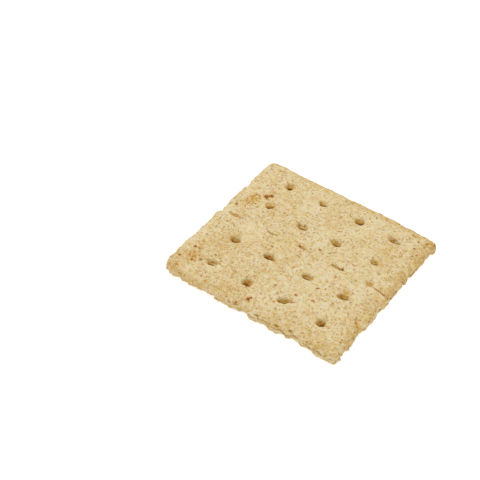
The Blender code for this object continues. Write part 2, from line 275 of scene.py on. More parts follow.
# The docker holes, in millimetres: the middle, half the width along X and Y, a turn in degrees,
# the share of the full depth, and where the deepest spot lies
holes = {
    "depth": 2.7 * mm,
    "bottomShare": 0.16,  # the width of a hole's bottom over its mouth's
    "nearLip": 1.22,  # the mouth's crisp side, towards the front, over its half width
    "farLip": 2.05,  # the far side, where the wall is a funnel
    "crispWay": -57.0,  # the way the crisp side faces, in degrees from X
    "unevenness": 0.11,
    "leanToCrisp": 0.5 * mm,
    "lipRise": 0.07 * mm,  # a low ridge along the crisp side, which the relief paints paler as a highlight
    "lipRidge": (0.18, 0.2),  # how far beyond the lip it lies, and how wide it is, over the half width
    "dimpleDepth": 0.34 * mm,
    "dimpleReach": 2.4 * mm,
    "halo": (0.14, 0.3 * mm, -0.5 * mm, 2.0 * mm),  # a faint darker ring round it, shifted towards the back, that the material paints as shade: share, shift, reach
    "farthest": 9.0 * mm,  # nothing of a hole reaches beyond this
    "places": (
        (-19.3, -21.6, 1.2, 1.02, 20, 1.08, (0.15, -0.35)),
        (-6.1, -21.85, 1.3, 1.15, -5, 1, (-0.35, -0.45)), (6.9, -21.6, 1.5, 1, 38, 1.15, (-0.15, -0.3)),
        (20.7, -22.4, 1.2, 1.08, 0, 1.1, (0.25, 0.05)), (-19.45, -8.45, 1.3, 1, -8, 1.14, (0.25, -0.3)),
        (-6.85, -8.45, 1.38, 1, 22, 1, (-0.3, -0.1)), (7.3, -8.35, 1.3, 0.98, 6, 1.2, (0.2, -0.4)),
        (20.5, -8.85, 1.6, 0.9, 12, 1.12, (-0.05, -0.25)), (-19.35, 11.4, 1.3, 1.2, 10, 0.6, (0.25, -0.3)),
        (-5.95, 9.55, 1.45, 0.85, 0, 0.85, (0.25, -0.3)), (6.8, 9.8, 1.3, 0.9, -8, 1.05, (0.15, -0.35)),
        (20.6, 9.95, 1.15, 0.74, -6, 0.8, (0.2, -0.25)), (-19.25, 23.15, 1.15, 1.05, 0, 0.68, (0.1, -0.25)),
        (-6.25, 23.2, 1.25, 1, 0, 0.62, (-0.2, -0.2)), (7.35, 23.35, 1.35, 1.05, 0, 1.02, (0.2, -0.3)),
        (20.65, 22.7, 1.65, 0.72, -2, 1.1, (0.2, -0.3)),
    ),
    # softer hollows torn beside them: the middle, half the widths, the turn and the depth
    "tears": (
        (-21.2, -8.4, 1, 0.5, 0, 0.6), (-9, -8.05, 1.15, 0.42, -8, 0.42),
        (-5.2, -8.75, 1.15, 0.48, 0, 0.85), (5.7, -8.2, 0.6, 0.62, 0, 1.25), (5.1, -7.1, 0.32, 1, 35, 0.32),
        (8.35, -7.2, 0.48, 0.75, -22, 0.95), (19, -8.9, 0.7, 0.5, 0, 0.8), (22.25, -8.6, 0.9, 0.45, 4, 0.8),
        (19.9, -6.6, 1.9, 1.6, 0, 0.8), (7.75, -20.1, 0.6, 0.85, -15, 0.75),
        (9.15, -20.45, 1.05, 0.48, 38, 1.05), (7.6, -18.9, 0.7, 1, -8, 0.32),
        (20.95, -20.2, 0.9, 1.2, 0, 0.32), (-7.35, 10.35, 0.85, 0.52, -22, 1.1),
        (-5.7, 11, 0.5, 0.66, -8, 1.15), (-8.5, 10.75, 0.7, 0.36, -14, 0.55),
        (-5.55, 12.4, 0.34, 0.8, -8, 0.45), (4.9, 10.25, 1.3, 0.55, -6, 0.95),
        (6.35, 11.2, 0.85, 0.7, 0, 0.7), (19.4, 11.15, 0.42, 0.9, 24, 0.8), (-8, 24.6, 0.5, 0.42, 0, 0.3),
        (23.8, 1.45, 1.1, 1.25, 20, 0.92),
    ),
}

# The scored line and what has torn open, in millimetres: from, to, half the width, the depth and how
# far the middle of the line sags towards the front
score = {
    "fromMiddle": 1.0 * mm,
    "valleyDepth": 0.12 * mm,
    "valleyReach": 2.1 * mm,
    "wanderSize": 0.2 * mm,
    "wanderSpacing": 0.8 * mm,
    "seed": 41,
    "cuts": (
        ((-28.2, 1.05), (-23.5, 0.95), 0.6, 0.32, 0.3), ((-14.5, 1.95), (-10.1, 1.8), 0.28, 0.36, 0.9),
        ((-2.2, 1.7), (0.6, 1.3), 0.36, 0.45, 0.1), ((1.6, 1.15), (2.6, 1.1), 0.2, 0.22, 0),
        ((10, 1.35), (14.9, 0.95), 0.4, 0.55, 0.3), ((14, 1.9), (14.25, 0.7), 0.24, 0.6, 0),
        ((23.3, 0.6), (25.2, 0.6), 0.28, 0.22, 0), ((25.6, 0.45), (31.4, -0.45), 0.21, 0.5, 0),
        ((27.9, -14.9), (29.5, -16.2), 0.2, 0.22, 0), ((29.5, -16.2), (31.6, -18.2), 0.18, 0.24, 0),
    ),
}


def holeShape(x, y, place):
    # How far out from a hole's middle each point lies, where 1 is its mouth: the distance over the
    # half widths, stretched by three waves round the hole so that no two are alike.
    middleX, middleY, wide, deep, turn = place[:5]
    along, across = turned(x - middleX * mm, y - middleY * mm, math.radians(turn))
    along, across = along / (wide * mm), across / (deep * mm)
    around = np.arctan2(across, along)
    phase = middleX * 1.7 + middleY * 0.9
    wavy = 0.6 * np.sin(2.0 * around + phase) + 0.5 * np.sin(3.0 * around + 2.1 * phase)
    wavy = wavy + 0.4 * np.sin(5.0 * around + 3.3 * phase)
    return np.hypot(along, across) * (1.0 + holes["unevenness"] * wavy)


def holeDepths(x, y):
    # Full depth inside a hole's bottom, easing to nothing at its lip, which is near on the crisp
    # side and goes over to the funnel's by half of one less the cosine. The bottom leans aside. One
    # bell is a low ridge beyond the crisp lip, which the relief paints paler as a highlight, and a wider
    # one a dimple round the hole. The tears are bells of their own; the fourth root of the summed fourth
    # powers joins them to a hole. The second value says how far down a hole a point lies, or how strong
    # the faint ring round it is; the material paints shade by it, darker the deeper.
    depth = np.zeros_like(x)
    inside = np.zeros_like(x)
    crisp = math.radians(holes["crispWay"])
    haloShare, haloX, haloY, haloReach = holes["halo"]
    beyondLip, ridge = holes["lipRidge"]
    for place in holes["places"]:
        share, (leanX, leanY) = place[5:]
        leanX = leanX * mm + holes["leanToCrisp"] * math.cos(crisp)
        leanY = leanY * mm + holes["leanToCrisp"] * math.sin(crisp)
        middleX, middleY = place[0] * mm, place[1] * mm
        near = np.hypot(x - middleX, y - middleY) < holes["farthest"]
        nearX, nearY = x[near], y[near]
        way = np.arctan2(nearY - middleY, nearX - middleX)
        funnel = 0.5 - 0.5 * np.cos(way - crisp)
        lip = holes["nearLip"] + (holes["farLip"] - holes["nearLip"]) * funnel ** 1.5
        away = holeShape(nearX, nearY, place)
        depth[near] -= holes["lipRise"] * share * bell(away - lip - beyondLip, ridge) * (1.0 - funnel) ** 2
        lean = smooth((1.25 - away) / 0.9)
        away = holeShape(nearX - leanX * lean, nearY - leanY * lean, place)
        part = np.clip((lip - away) / (lip - holes["bottomShare"]), 0.0, 1.0)
        wall = np.minimum(part ** (1.0 + 0.9 * funnel) * (2.0 - part), 1.0)
        dimple = holes["dimpleDepth"] * bell(np.hypot(nearX - middleX, nearY - middleY), holes["dimpleReach"])
        depth[near] += share * (dimple + (holes["depth"] - holes["dimpleDepth"]) * wall)
        # The faint ring round the hole, shifted back: painted shade with the funnel.
        halo = haloShare * bell(np.hypot(nearX - middleX + haloX, nearY - middleY + haloY), haloReach)
        inside[near] = np.maximum(inside[near], np.maximum(wall, halo) * math.sqrt(share))
    for tear in holes["tears"]:
        hollow = tear[5] * mm * np.exp(-holeShape(x, y, tear) ** 2)
        larger = (np.clip(depth, 0.0, None) ** 4 + hollow ** 4) ** 0.25
        depth = np.where(depth > 0.0, larger, depth + hollow)
        inside = np.maximum(inside, hollow / holes["depth"])
    return depth, inside


def lineDistance(x, y, start, end):
    # How far each point lies from a straight stretch, and how far along it, from 0 to 1.
    startX, startY = start[0] * mm, start[1] * mm
    runX, runY = end[0] * mm - startX, end[1] * mm - startY
    along = ((x - startX) * runX + (y - startY) * runY) / (runX ** 2 + runY ** 2)
    held = np.clip(along, 0.0, 1.0)
    return np.hypot(x - startX - held * runX, y - startY - held * runY), along


def cutDepths(x, y):
    # Each cut is a groove with steep walls, deepest in its middle, whose line wanders and sags.
    depth = np.zeros_like(x)
    wander = score["wanderSize"] * ripple(x, y, score["wanderSpacing"], score["seed"])
    for start, end, halfWidth, deep, sag in score["cuts"]:
        bow = lineDistance(x, y, start, end)[1]
        bow = sag * mm * np.clip(4.0 * bow * (1.0 - bow), 0.0, 1.0)
        away, along = lineDistance(x + wander, y - wander + bow, start, end)
        ends = 0.45 + 0.55 * np.sqrt(np.clip(4.0 * along * (1.0 - along), 0.0, 1.0))
        groove = smooth(1.6 - away / (halfWidth * mm * ends))
        depth = np.maximum(depth, deep * mm * ends * groove)
    return depth


# How far the oven has browned each side: the most, and how far in it reaches
browning = {
    "front": (0.66, 8.0 * mm),
    "right": (0.95, 5.5 * mm),
    "back": (1.15, 4.2 * mm),
    "left": (0.15, 3.0 * mm),
    "tip": (1.6, 2.4 * mm, (31.2 * mm, 29.6 * mm)),  # the back right corner
    # scorched spots, in millimetres: the middle, half the widths, the turn and how strongly
    "scorches": (
        (-25.6, 10.3, 2.3, 3, -10, 0.85), (-26.3, -17.5, 1.5, 2.4, 8, 0.48),
        (-26, -22.6, 2.6, 2.4, 20, 0.68), (-28.2, -29, 2.2, 1.8, 0, 0.2), (24, 1.3, 1.2, 1.1, 0, 0.62),
        (25.3, 28.4, 1.5, 0.9, -10, 0.5), (29.9, 27.8, 2.2, 1.6, -40, 0.3), (-21.9, 15.2, 1.3, 1, 50, 0.6),
        (-1, 1.5, 1.6, 0.6, -8, 0.8), (29.4, -15.6, 0.7, 2.2, 10, 0.7), (12.6, -10.6, 1.2, 0.8, 50, 0.4),
        (-27.4, 8, 1, 1, 0, 0.5), (-25.8, 0.8, 2.3, 0.45, 0, 0.8), (-12.3, 1.1, 1.8, 0.55, 0, 0.6),
        (12.8, 0.9, 2, 0.5, -8, 0.9), (-22.5, 14.1, 0.64, 1.06, 40, 3.4), (-21.9, 15.3, 0.6, 0.4, 50, 2.4),
        (-21.5, 15.8, 0.46, 0.76, 40, 3.2), (-1.9, -27.75, 0.56, 0.66, 40, 2.8),
        (-1.5, -26.9, 0.46, 0.44, 0, 2.1), (-28.5, 5.7, 0.44, 0.54, 0, 2.2),
    ),
}


def bakedShare(x, y):
    # Each side's most, eased inwards over its reach, and a bell at the tip; the largest of the five.
    share = np.zeros_like(x)
    for side, away in (("front", half + y), ("right", half - x), ("back", half - y), ("left", half + x)):
        most, reach = browning[side]
        share = np.maximum(share, most * smooth(1.0 - away / reach))
    most, reach, (tipX, tipY) = browning["tip"]
    return np.maximum(share, most * bell(np.hypot(x - tipX, y - tipY), reach))


def scorchShare(x, y):
    # The largest of the scorches' bells.
    share = np.zeros_like(x)
    for scorch in browning["scorches"]:
        share = np.maximum(share, scorch[5] * np.exp(-holeShape(x, y, scorch) ** 2))
    return share


top = {
    "grainSize": 0.045 * mm,
    "fineSize": 0.026 * mm,
    "grainSpacing": 1.0 * mm,
    "fineSpacing": 0.52 * mm,
    "crustSize": 0.03 * mm,  # cobbled grains of the crust
    "crustSpacing": 1.25 * mm,
    "pores": 130,
    "poreReach": (0.2 * mm, 0.4 * mm),
    "poreDepth": (0.04 * mm, 0.13 * mm),
    "blisters": 150,
    "blisterReach": (0.35 * mm, 0.9 * mm),
    "blisterHeight": (0.02 * mm, 0.06 * mm),
    "wrinkleSize": 0.095 * mm,  # wrinkles left by the roller
    "wrinkleShape": (3.0 * mm, 0.48 * mm),  # how long and how wide they are
    "wrinkleWay": 41.0,  # the way they run, in degrees
    "wrinklePart": (24.0 * mm, -19.0 * mm, 8.0 * mm),  # where they are strongest, and the reach
    "wrinkleElsewhere": 0.3,
    "seed": 77,
}


def scatterBells(x, y, count, reaches, sizes, seed):
    # Small round humps at random places of the square, each a squashed and turned bell.
    chance = np.random.default_rng(seed)
    total = np.zeros_like(x)
    for middleX, middleY, reach, size, squash, turn in zip(
        chance.uniform(-half, half, count), chance.uniform(-half, half, count),
        chance.uniform(*reaches, count), chance.uniform(*sizes, count),
        chance.uniform(0.5, 1.0, count), chance.uniform(0.0, math.pi, count),
    ):
        near = (np.abs(x - middleX) < 3.0 * reach) & (np.abs(y - middleY) < 3.0 * reach)
        along, across = turned(x[near] - middleX, y[near] - middleY, turn)
        total[near] += size * np.exp(-(along / reach) ** 2 - (across / (reach * squash)) ** 2)
    return total


def topRelief(x, y):
    # Two lattice noises and cobbled grains, higher the nearer a grain's middle, less the pores, plus
    # the blisters and the wrinkles: a noise drawn out one way, times a bell where they are strongest.
    relief = top["grainSize"] * ripple(x, y, top["grainSpacing"], top["seed"])
    relief += top["fineSize"] * ripple(x, y, top["fineSpacing"], top["seed"] + 1)
    grains = grainNoise(flat(x, y, top["crustSpacing"]), top["seed"] + 2)
    relief += top["crustSize"] * (0.55 - grains)
    relief -= scatterBells(x, y, top["pores"], top["poreReach"], top["poreDepth"], top["seed"] + 3)
    relief += scatterBells(x, y, top["blisters"], top["blisterReach"], top["blisterHeight"],
                           top["seed"] + 4)
    along, across = turned(x, y, math.radians(top["wrinkleWay"]))
    long, wide = top["wrinkleShape"]
    middleX, middleY, reach = top["wrinklePart"]
    part = top["wrinkleElsewhere"]
    part = part + (1.0 - part) * bell(np.hypot(x - middleX, y - middleY), reach)
    wrinkles = ripple(along / long, across / wide, 1.0, top["seed"] + 5)
    return relief + top["wrinkleSize"] * part * wrinkles


def topHeight(x, y):
    # The crown, plus long swells and pillows, less the scored valley and the shoulder, less holes and
    # cuts, plus the relief, which is stronger in the holes. Then, for the material: how far down a
    # hole it is, and the cuts and the relief in millimetres. The material paints shade by the first
    # two, and by the relief a highlight on crests and shade in pits.
    shiftX, shiftY = square["pillowShift"]
    spacingX, spacingY = square["pillowSpacing"]
    pillow = np.cos(2.0 * math.pi * (x - shiftX) / spacingX) * np.cos(2.0 * math.pi * (y - shiftY) / spacingY)
    height = crown + square["swellSize"] * waveHeight(swells, x, y) + square["pillowSize"] * pillow
    height -= score["valleyDepth"] * bell(y - score["fromMiddle"], score["valleyReach"])
    height += square["cragSize"] * ripple(x, y, square["cragSpacing"], square["cragSeed"])
    within = np.clip(half - np.maximum(np.abs(x), np.abs(y)) - rim["shoulderInset"], 0.0, None)
    fall = 1.0 - np.minimum(within / (rim["shoulderReach"] - rim["shoulderInset"]), 1.0)
    height -= rim["shoulderDrop"] * fall * fall
    depth, inside = holeDepths(x, y)
    cuts = cutDepths(x, y)
    relief = topRelief(x, y) * (1.0 + 0.6 * inside)
    return height - depth - cuts + relief, inside, cuts / mm, (relief - np.minimum(depth, 0.0)) / mm


# The cut edge

def roundCorner(x, y):
    # A point of the square's edge, moved on to the quarter circle at a corner.
    radius = square["cornerRadius"]
    beyondX = np.abs(x) - straightHalf
    beyondY = np.abs(y) - straightHalf
    turn = math.pi / 4.0 * (1.0 + (beyondY - beyondX) / radius)
    onCorner = (beyondX > 0.0) & (beyondY > 0.0)
    roundX = np.copysign(straightHalf + radius * np.cos(turn), x)
    roundY = np.copysign(straightHalf + radius * np.sin(turn), y)
    return np.where(onCorner, roundX, x), np.where(onCorner, roundY, y)


def chipDepth(x, y, inLip):
    # How far the edge is chipped away: the sizes, each eased from the chip's middle to its ends, and
    # the longer the chip, the more a lattice noise varies it.
    always = np.full_like(x, half)
    sides = {
        "front": (x, -y), "back": (x, y), "left": (y, -x), "right": (y, x),
        "frontLeft": (np.hypot(x + half, y + half), always),
        "frontRight": (np.hypot(x - half, y + half), always),
        "backRight": (np.hypot(x - half, y - half), always),
    }
    depth = np.zeros_like(x)
    coarse, fine = rim["chipSpacings"]
    uneven = ripple(x, y, coarse, 57) + 0.6 * ripple(x, y, fine, 58)
    for side, rows in chips.items():
        along, across = sides[side]
        for place, halfWidth, softness, lipSize, crustSize in rows:
            size = (lipSize if inLip else crustSize) * mm * (1.0 + 0.06 * halfWidth * uneven)
            chip = size * smooth((halfWidth * mm - np.abs(along - place * mm)) / (softness * mm))
            depth += np.where(across > straightHalf, chip, 0.0)
    return depth


def roughness(y):
    # One along the front, less the calm eased in over the back half.
    return 1.0 - rim["calm"] * smooth((y - 2.0 * mm) / (8.0 * mm))


def nickDepth(x, y, inset, inLip):
    # Small nicks: a lattice noise along the edge, where it is above zero, fading away from the edge.
    layer = np.full_like(x, 4.5 if inLip else 0.5)
    noise = latticeNoise(columns(x / rim["nickSpacing"], y / rim["nickSpacing"], layer), 29)
    return rim["nickSize"] * roughness(y) * np.clip(noise, -0.2, 1.0) * smooth((1.4 * mm - inset) / mm)


def rimPoint(x, y, inset, inLip):
    # A point of the square's edge carried to the round, ragged and chipped outline and inwards.
    x, y = roundCorner(x, y)
    outX = np.copysign(np.clip(np.abs(x) - straightHalf, 0.0, None), x)
    outY = np.copysign(np.clip(np.abs(y) - straightHalf, 0.0, None), y)
    length = np.hypot(outX, outY)
    step = square["raggedSize"] * (waveHeight(ragged, x, y) - 0.4) - inset - chipDepth(x, y, inLip)
    step = step - nickDepth(x, y, inset, inLip)
    return x + outX / length * step, y + outY / length * step


def edgePlace(around):
    # The square's edge, walked from the front left corner: 0 to 1 along the front, then the right,
    # the back and the left.
    side = np.floor(around).astype(int) % 4
    along = (around - np.floor(around)) * 2.0 * half - half
    x = np.select([side == 0, side == 1, side == 2], [along, half, -along], -half)
    y = np.select([side == 0, side == 1, side == 2], [-half, along, half], -along)
    return x, y


def edgeAround(side, place):
    # A place on a side, in millimetres along it, counted as edgePlace does.
    starts = {"front": 0.0, "right": 1.0, "back": 2.0, "left": 3.0}
    along = place if side in ("front", "right") else -place
    return starts[side] + (along * mm + half) / (2.0 * half)


edge = {
    "rowsPerLayer": (4, 3, 3, 3, 3, 3, 2, 2, 1),
    "grainSize": 0.045 * mm,
    "grainSpacing": 0.75 * mm,
    "lumpSize": 0.07 * mm,
    "lumpSpacing": 1.5 * mm,
    "leafSize": 0.07 * mm,  # thin leaves of dough along the cut
    "leafHeight": 0.45 * mm,
    "leafLength": 2.4 * mm,
    "seed": 311,
}


def rimKeys(around):
    # The rim's layers at each place along the edge, from the top's border down: points as columns.
    edgeX, edgeY = edgePlace(around)
    x, y = rimPoint(edgeX, edgeY, rim["shoulderInset"], False)
    keys = [columns(x, y, topHeight(x, y)[0])]
    for number, (inset, height) in enumerate(rim["layers"], start=1):
        flake = square["flakeSize"] * (0.7 - waveHeight(flaky[number - 1], edgeX, edgeY) * roughness(edgeY))
        inset = inset + flake / 2.0
        if number == rim["seamLayer"]:
            inset = inset + rim["seamDepth"] * smooth(0.5 + waveHeight(seamWaves, edgeX, edgeY))
        x, y = rimPoint(edgeX, edgeY, inset, number >= rim["seamLayer"])
        rise = rim["layerWander"] * waveHeight(seamWaves, edgeX + 7.0 * mm, edgeY - 4.0 * mm)
        rise = rise * math.sin(math.pi * number / len(rim["layers"])) ** 2
        keys.append(columns(x, y, height + rise))
    return np.stack(keys)


def throughKeys(keys, down):
    # A smooth curve through the layers: the cubic whose slope at a key is half the way between its
    # neighbours. keys is layer by place by 3, down is the layer's number with its fraction.
    last = len(keys) - 1
    low = np.clip(np.floor(down).astype(int), 0, last - 1)
    part = (down - low)[:, None]
    column = np.arange(keys.shape[1])
    before = keys[np.clip(low - 1, 0, last), column]
    here = keys[low, column]
    after = keys[low + 1, column]
    beyond = keys[np.clip(low + 2, 0, last), column]
    slope = (after - before) / 2.0
    nextSlope = (beyond - here) / 2.0
    return (here * (2.0 * part ** 3 - 3.0 * part ** 2 + 1.0) + slope * (part ** 3 - 2.0 * part ** 2 + part)
            + after * (3.0 * part ** 2 - 2.0 * part ** 3) + nextSlope * (part ** 3 - part ** 2))


def creviceDepth(around, down):
    # How deep the crevices go in at each place of the rim: the sum of bells along the edge and across
    # the layers, whose middle rises and falls as a sine.
    rise, pace = rim["creviceWander"]
    depth = np.zeros_like(around)
    for side, rows in crevices.items():
        for place, layer, halfLength, deep in rows:
            away = (around - edgeAround(side, place)) * 2.0 * half
            middle = layer + rise * np.sin(away / pace + place)
            depth += deep * mm * bell(away, halfLength * mm) * bell(down - middle, rim["creviceWidth"])
    return depth


def rimRelief(points, around, down):
    # Lumps, grains and long thin leaves, less the crevices, fading to nothing at the top's border
    # and the underside.
    relief = edge["lumpSize"] * latticeNoise(points / edge["lumpSpacing"], edge["seed"])
    relief += edge["grainSize"] * latticeNoise(points / edge["grainSpacing"], edge["seed"] + 1)
    leaves = columns(around * 2.0 * half / edge["leafLength"], points[:, 2] / edge["leafHeight"],
                     np.full(len(points), 0.5))
    relief += edge["leafSize"] * latticeNoise(leaves, edge["seed"] + 2) * smooth((down - 1.0) / 1.5)
    relief -= creviceDepth(around, down)
    relief -= cutDepths(points[:, 0], points[:, 1]) * smooth((3.4 - down) / 1.6)
    last = len(rim["layers"])
    return relief * smooth(down / 1.2) * smooth((last - down) / 0.8)


def rimSurface(around, down):
    # The curve through the layers, carried outwards along its normal by the relief. The normal is
    # the cross product of the small steps along the edge and down it.
    keys = rimKeys(around)
    stepAside, stepDown = 0.002, 0.05
    points = throughKeys(keys, down)
    lower = throughKeys(keys, np.minimum(down + stepDown, len(rim["layers"])))
    upper = throughKeys(keys, np.maximum(down - stepDown, 0.0))
    aside = throughKeys(rimKeys(around + stepAside), down)
    normal = np.cross(lower - upper, aside - points)
    normal /= np.linalg.norm(normal, axis=1, keepdims=True) + 1e-12
    relief = rimRelief(points, around, down)
    return points + normal * relief[:, None], relief, normal


# The underside

under = {
    "grainSize": 0.03 * mm,
    "grainSpacing": 0.9 * mm,
    "hollowSize": 0.12 * mm,
    "hollowSpacing": 7.0 * mm,
    "prickReach": 0.5 * mm,
    "prickDepth": 0.42 * mm,
    "pores": 300,
    "poreReach": (0.25 * mm, 0.55 * mm),
    "poreDepth": (0.05 * mm, 0.22 * mm),
    "seed": 523,
}


def undersideHeight(x, y):
    # Flat, with shallow hollows, grains, pores and the marks of the pins' tips, all of them upwards.
    hollows = ripple(x, y, under["hollowSpacing"], under["seed"])
    grains = ripple(x, y, under["grainSpacing"], under["seed"] + 1)
    height = under["hollowSize"] * np.clip(hollows, 0.0, 1.0) + 0.6 * under["grainSize"] * (1.0 + grains)
    height += scatterBells(x, y, under["pores"], under["poreReach"], under["poreDepth"], under["seed"] + 2)
    for place in holes["places"]:
        away = np.hypot(x - place[0] * mm, y - place[1] * mm)
        height += under["prickDepth"] * bell(away, under["prickReach"])
    return np.clip(height, 0.0, None)


# The crust as one closed mesh

crust = {
    "cells": 252,  # across the top; a multiple of the underside's step
    "undersideStep": 3,
    "crowding": 1.15,  # how much closer the lines lie at the rows of holes, which are in millimetres
    "crowdReach": 2.3 * mm,
    "crowdX": (-19.4, -6.3, 7.0, 20.6),
    "crowdY": (-21.9, -8.6, 1.0, 10.4, 23.2),
    "gathering": 0.42,  # how far the points gather on the holes' walls
    "highest": 0.1 * mm,  # how far a grain may stand above the solid
}


def gridLines(places):
    # Lines from edge to edge whose density is one, plus a bell at each place.
    fine = np.linspace(-half, half, 4001)
    density = 1.0 + sum(crust["crowding"] * bell(fine - place, crust["crowdReach"]) for place in places)
    share = np.concatenate([[0.0], np.cumsum((density[1:] + density[:-1]) / 2.0)])
    return np.interp(np.linspace(0.0, share[-1], crust["cells"] + 1), share, fine)


def pullToRim(x, y, inset, inLip):
    # The outer part of a grid is drawn in, so that its border lies on the rim.
    reach = np.maximum(np.abs(x), np.abs(y)) / half
    pull = smooth((reach - rim["pullStart"]) / (1.0 - rim["pullStart"]))
    safe = np.maximum(reach, 0.3)
    rimX, rimY = rimPoint(x / safe, y / safe, inset, inLip)
    outer = pull > 0.0
    x = np.where(outer, x + (rimX - x / safe) * pull, x)
    y = np.where(outer, y + (rimY - y / safe) * pull, y)
    return x, y


def gatherOnWalls(x, y):
    # Round each hole the points move towards the middle of its wall, which then has more of them.
    for place in holes["places"]:
        away = holeShape(x, y, place)
        wall = 0.5 * (1.0 + holes["bottomShare"])
        scale = 1.0 - crust["gathering"] * (away - wall) / np.maximum(away, 0.2) * bell(away - wall, 0.55)
        near = away < 3.0
        x = np.where(near, place[0] * mm + (x - place[0] * mm) * scale, x)
        y = np.where(near, place[1] * mm + (y - place[1] * mm) * scale, y)
    return x, y


def makeMesh(name, points, faceSizes, corners, corner2d=None, softened=True):
    # One mesh from arrays: the points, how many corners each face has, the corners in order, and the
    # place of each corner on the flat map.
    mesh = bpy.data.meshes.new(name)
    mesh.vertices.add(len(points))
    mesh.loops.add(len(corners))
    mesh.polygons.add(len(faceSizes))
    starts = np.cumsum(faceSizes) - faceSizes
    mesh.vertices.foreach_set("co", points.astype(np.float32).ravel())
    mesh.loops.foreach_set("vertex_index", corners.astype(np.int32))
    mesh.polygons.foreach_set("loop_start", starts.astype(np.int32))
    mesh.polygons.foreach_set("loop_total", faceSizes.astype(np.int32))
    if corner2d is not None:
        layout = mesh.uv_layers.new(name="OFBake")
        layout.data.foreach_set("uv", corner2d.astype(np.float32).ravel())
    mesh.update(calc_edges=True)
    mesh.validate()
    if softened:
        mesh.shade_smooth()
    else:
        mesh.shade_flat()
    return mesh


def addThing(name, data):
    # An object in the scene, at the origin.
    thing = bpy.data.objects.new(name, data)
    bpy.context.scene.collection.objects.link(thing)
    return thing


def addPiece(name, mesh, material):
    # The piece rides on the one body.
    mesh.materials.append(material)
    piece = addThing(name, mesh)
    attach(piece, "root")
    return piece


def pointValues(mesh, name, values):
    # A value for each point, which the material reads by its name.
    attribute = mesh.attributes.new(name, "FLOAT", "POINT")
    attribute.data.foreach_set("value", np.asarray(values, np.float32))


def quads(number):
    # A face for each cell of a grid of point numbers, facing up.
    return columns(number[:-1, :-1], number[1:, :-1], number[1:, 1:], number[:-1, 1:]).reshape(-1, 4)


def gridBorder(number):
    # The border of a grid of point numbers, walked once round from the front left corner.
    return np.concatenate([number[:-1, 0], number[-1, :-1], number[:0:-1, -1], number[0, :0:-1]])


def topPart(linesX, linesY, ring):
    # The top's grid: pulled to the rim, and gathered on the holes' walls but for its border.
    gridX, gridY = np.meshgrid(linesX, linesY, indexing="ij")
    x, y = pullToRim(gridX.ravel(), gridY.ravel(), rim["shoulderInset"], False)
    inner = np.ones(len(x), bool)
    inner[ring] = False
    gathered = gatherOnWalls(x, y)
    x, y = np.where(inner, gathered[0], x), np.where(inner, gathered[1], y)
    z, inside, cuts, relief = topHeight(x, y)
    return columns(x, y, z), {"hollow": inside, "crack": cuts, "relief": relief,
                              "baked": bakedShare(x, y), "scorch": scorchShare(x, y)}


def rimPart(around, downs):
    # The rim's rows below the top's border. Its browning fades down the wall, and the foot is darker: painted
    # shade where the edge meets the floor.
    allAround = np.tile(around, len(downs))
    allDown = np.repeat(downs, len(around))
    points, relief, _ = rimSurface(allAround, allDown)
    x, y = points[:, 0], points[:, 1]
    crevice = creviceDepth(allAround, allDown) / mm
    fade = 1.0 - 0.7 * smooth((allDown - 1.5) / 4.0)
    # Painted shade along the foot, where the cut edge meets the floor, added to the browning.
    paintedFootShade = 1.4 * smooth((allDown - 6.2) / 1.6) * smooth((9.2 - allDown) / 0.8)
    # The relief, with the ridges among the crevices, is painted paler on crests and darker in pits.
    return points, {"hollow": 0.0, "crack": crevice, "relief": relief / mm * 0.5 - np.minimum(crevice, 0.0),
                    "baked": bakedShare(x, y) * fade + paintedFootShade, "scorch": scorchShare(x, y) * fade}


def lowPart(linesX, linesY):
    # The underside's coarser grid, without its border.
    x, y = (grid.ravel() for grid in np.meshgrid(linesX[1:-1], linesY[1:-1], indexing="ij"))
    x, y = pullToRim(x, y, rim["layers"][-1][0] + square["flakeSize"] / 2.0, True)
    z = undersideHeight(x, y)
    # Its relief is the height turned over, so the material paints shade in the hollows, pores and pin marks.
    return columns(x, y, z), {"hollow": 0.0, "crack": 0.0, "relief": -z / mm, "baked": 0.5, "scorch": 0.0}


def borderFaces(lowNumber, lastRow):
    # What joins the underside to the rim's last row: each coarse cell meets as many fine edges as
    # the step says, and one larger face fills each corner.
    step = crust["undersideStep"]
    inner = gridBorder(lowNumber)
    perSide = len(lowNumber) - 1
    sides, corners = [], []
    for side in range(4):
        first = side * crust["cells"]
        cell = np.arange(perSide)
        ends = (inner[side * perSide + cell], inner[(side * perSide + cell + 1) % len(inner)])
        outer = [lastRow[(first + step * (1 + cell) + k) % len(lastRow)] for k in range(step, -1, -1)]
        sides.append(columns(*ends, *outer))
        around = [lastRow[(first + k) % len(lastRow)] for k in range(step, -step - 1, -1)]
        corners.append([inner[side * perSide]] + around)
    return np.concatenate(sides), np.array(corners)


def crustMap(points, topFaces, lowFaces, rowCount, perimeter):
    # The flat map for baking: the top by its grid, the rim as four strips, the underside from below.
    # Each is scaled and moved to its own part of the map.
    count = crust["cells"]
    topCorners = columns(topFaces.ravel() // (count + 1), topFaces.ravel() % (count + 1)) / count
    column = np.tile(np.arange(perimeter), rowCount)
    row = np.repeat(np.arange(rowCount), perimeter)
    left, upper = column % count / count, row / rowCount
    right, lower = left + 1.0 / count, upper + 1.0 / rowCount
    rise = 0.085 + column // count * 0.09
    places = ((left, lower), (right, lower), (right, upper), (left, upper))
    rimCorners = np.stack([columns(across * 0.62 + 0.005, rise - down * 0.078) for across, down in places], 1)
    lowCorners = (points[lowFaces][:, :2] + half) / (2.0 * half)
    return np.concatenate([topCorners * 0.62 + [0.005, 0.375], rimCorners.reshape(-1, 2),
                           lowCorners * 0.36 + [0.635, 0.005]])


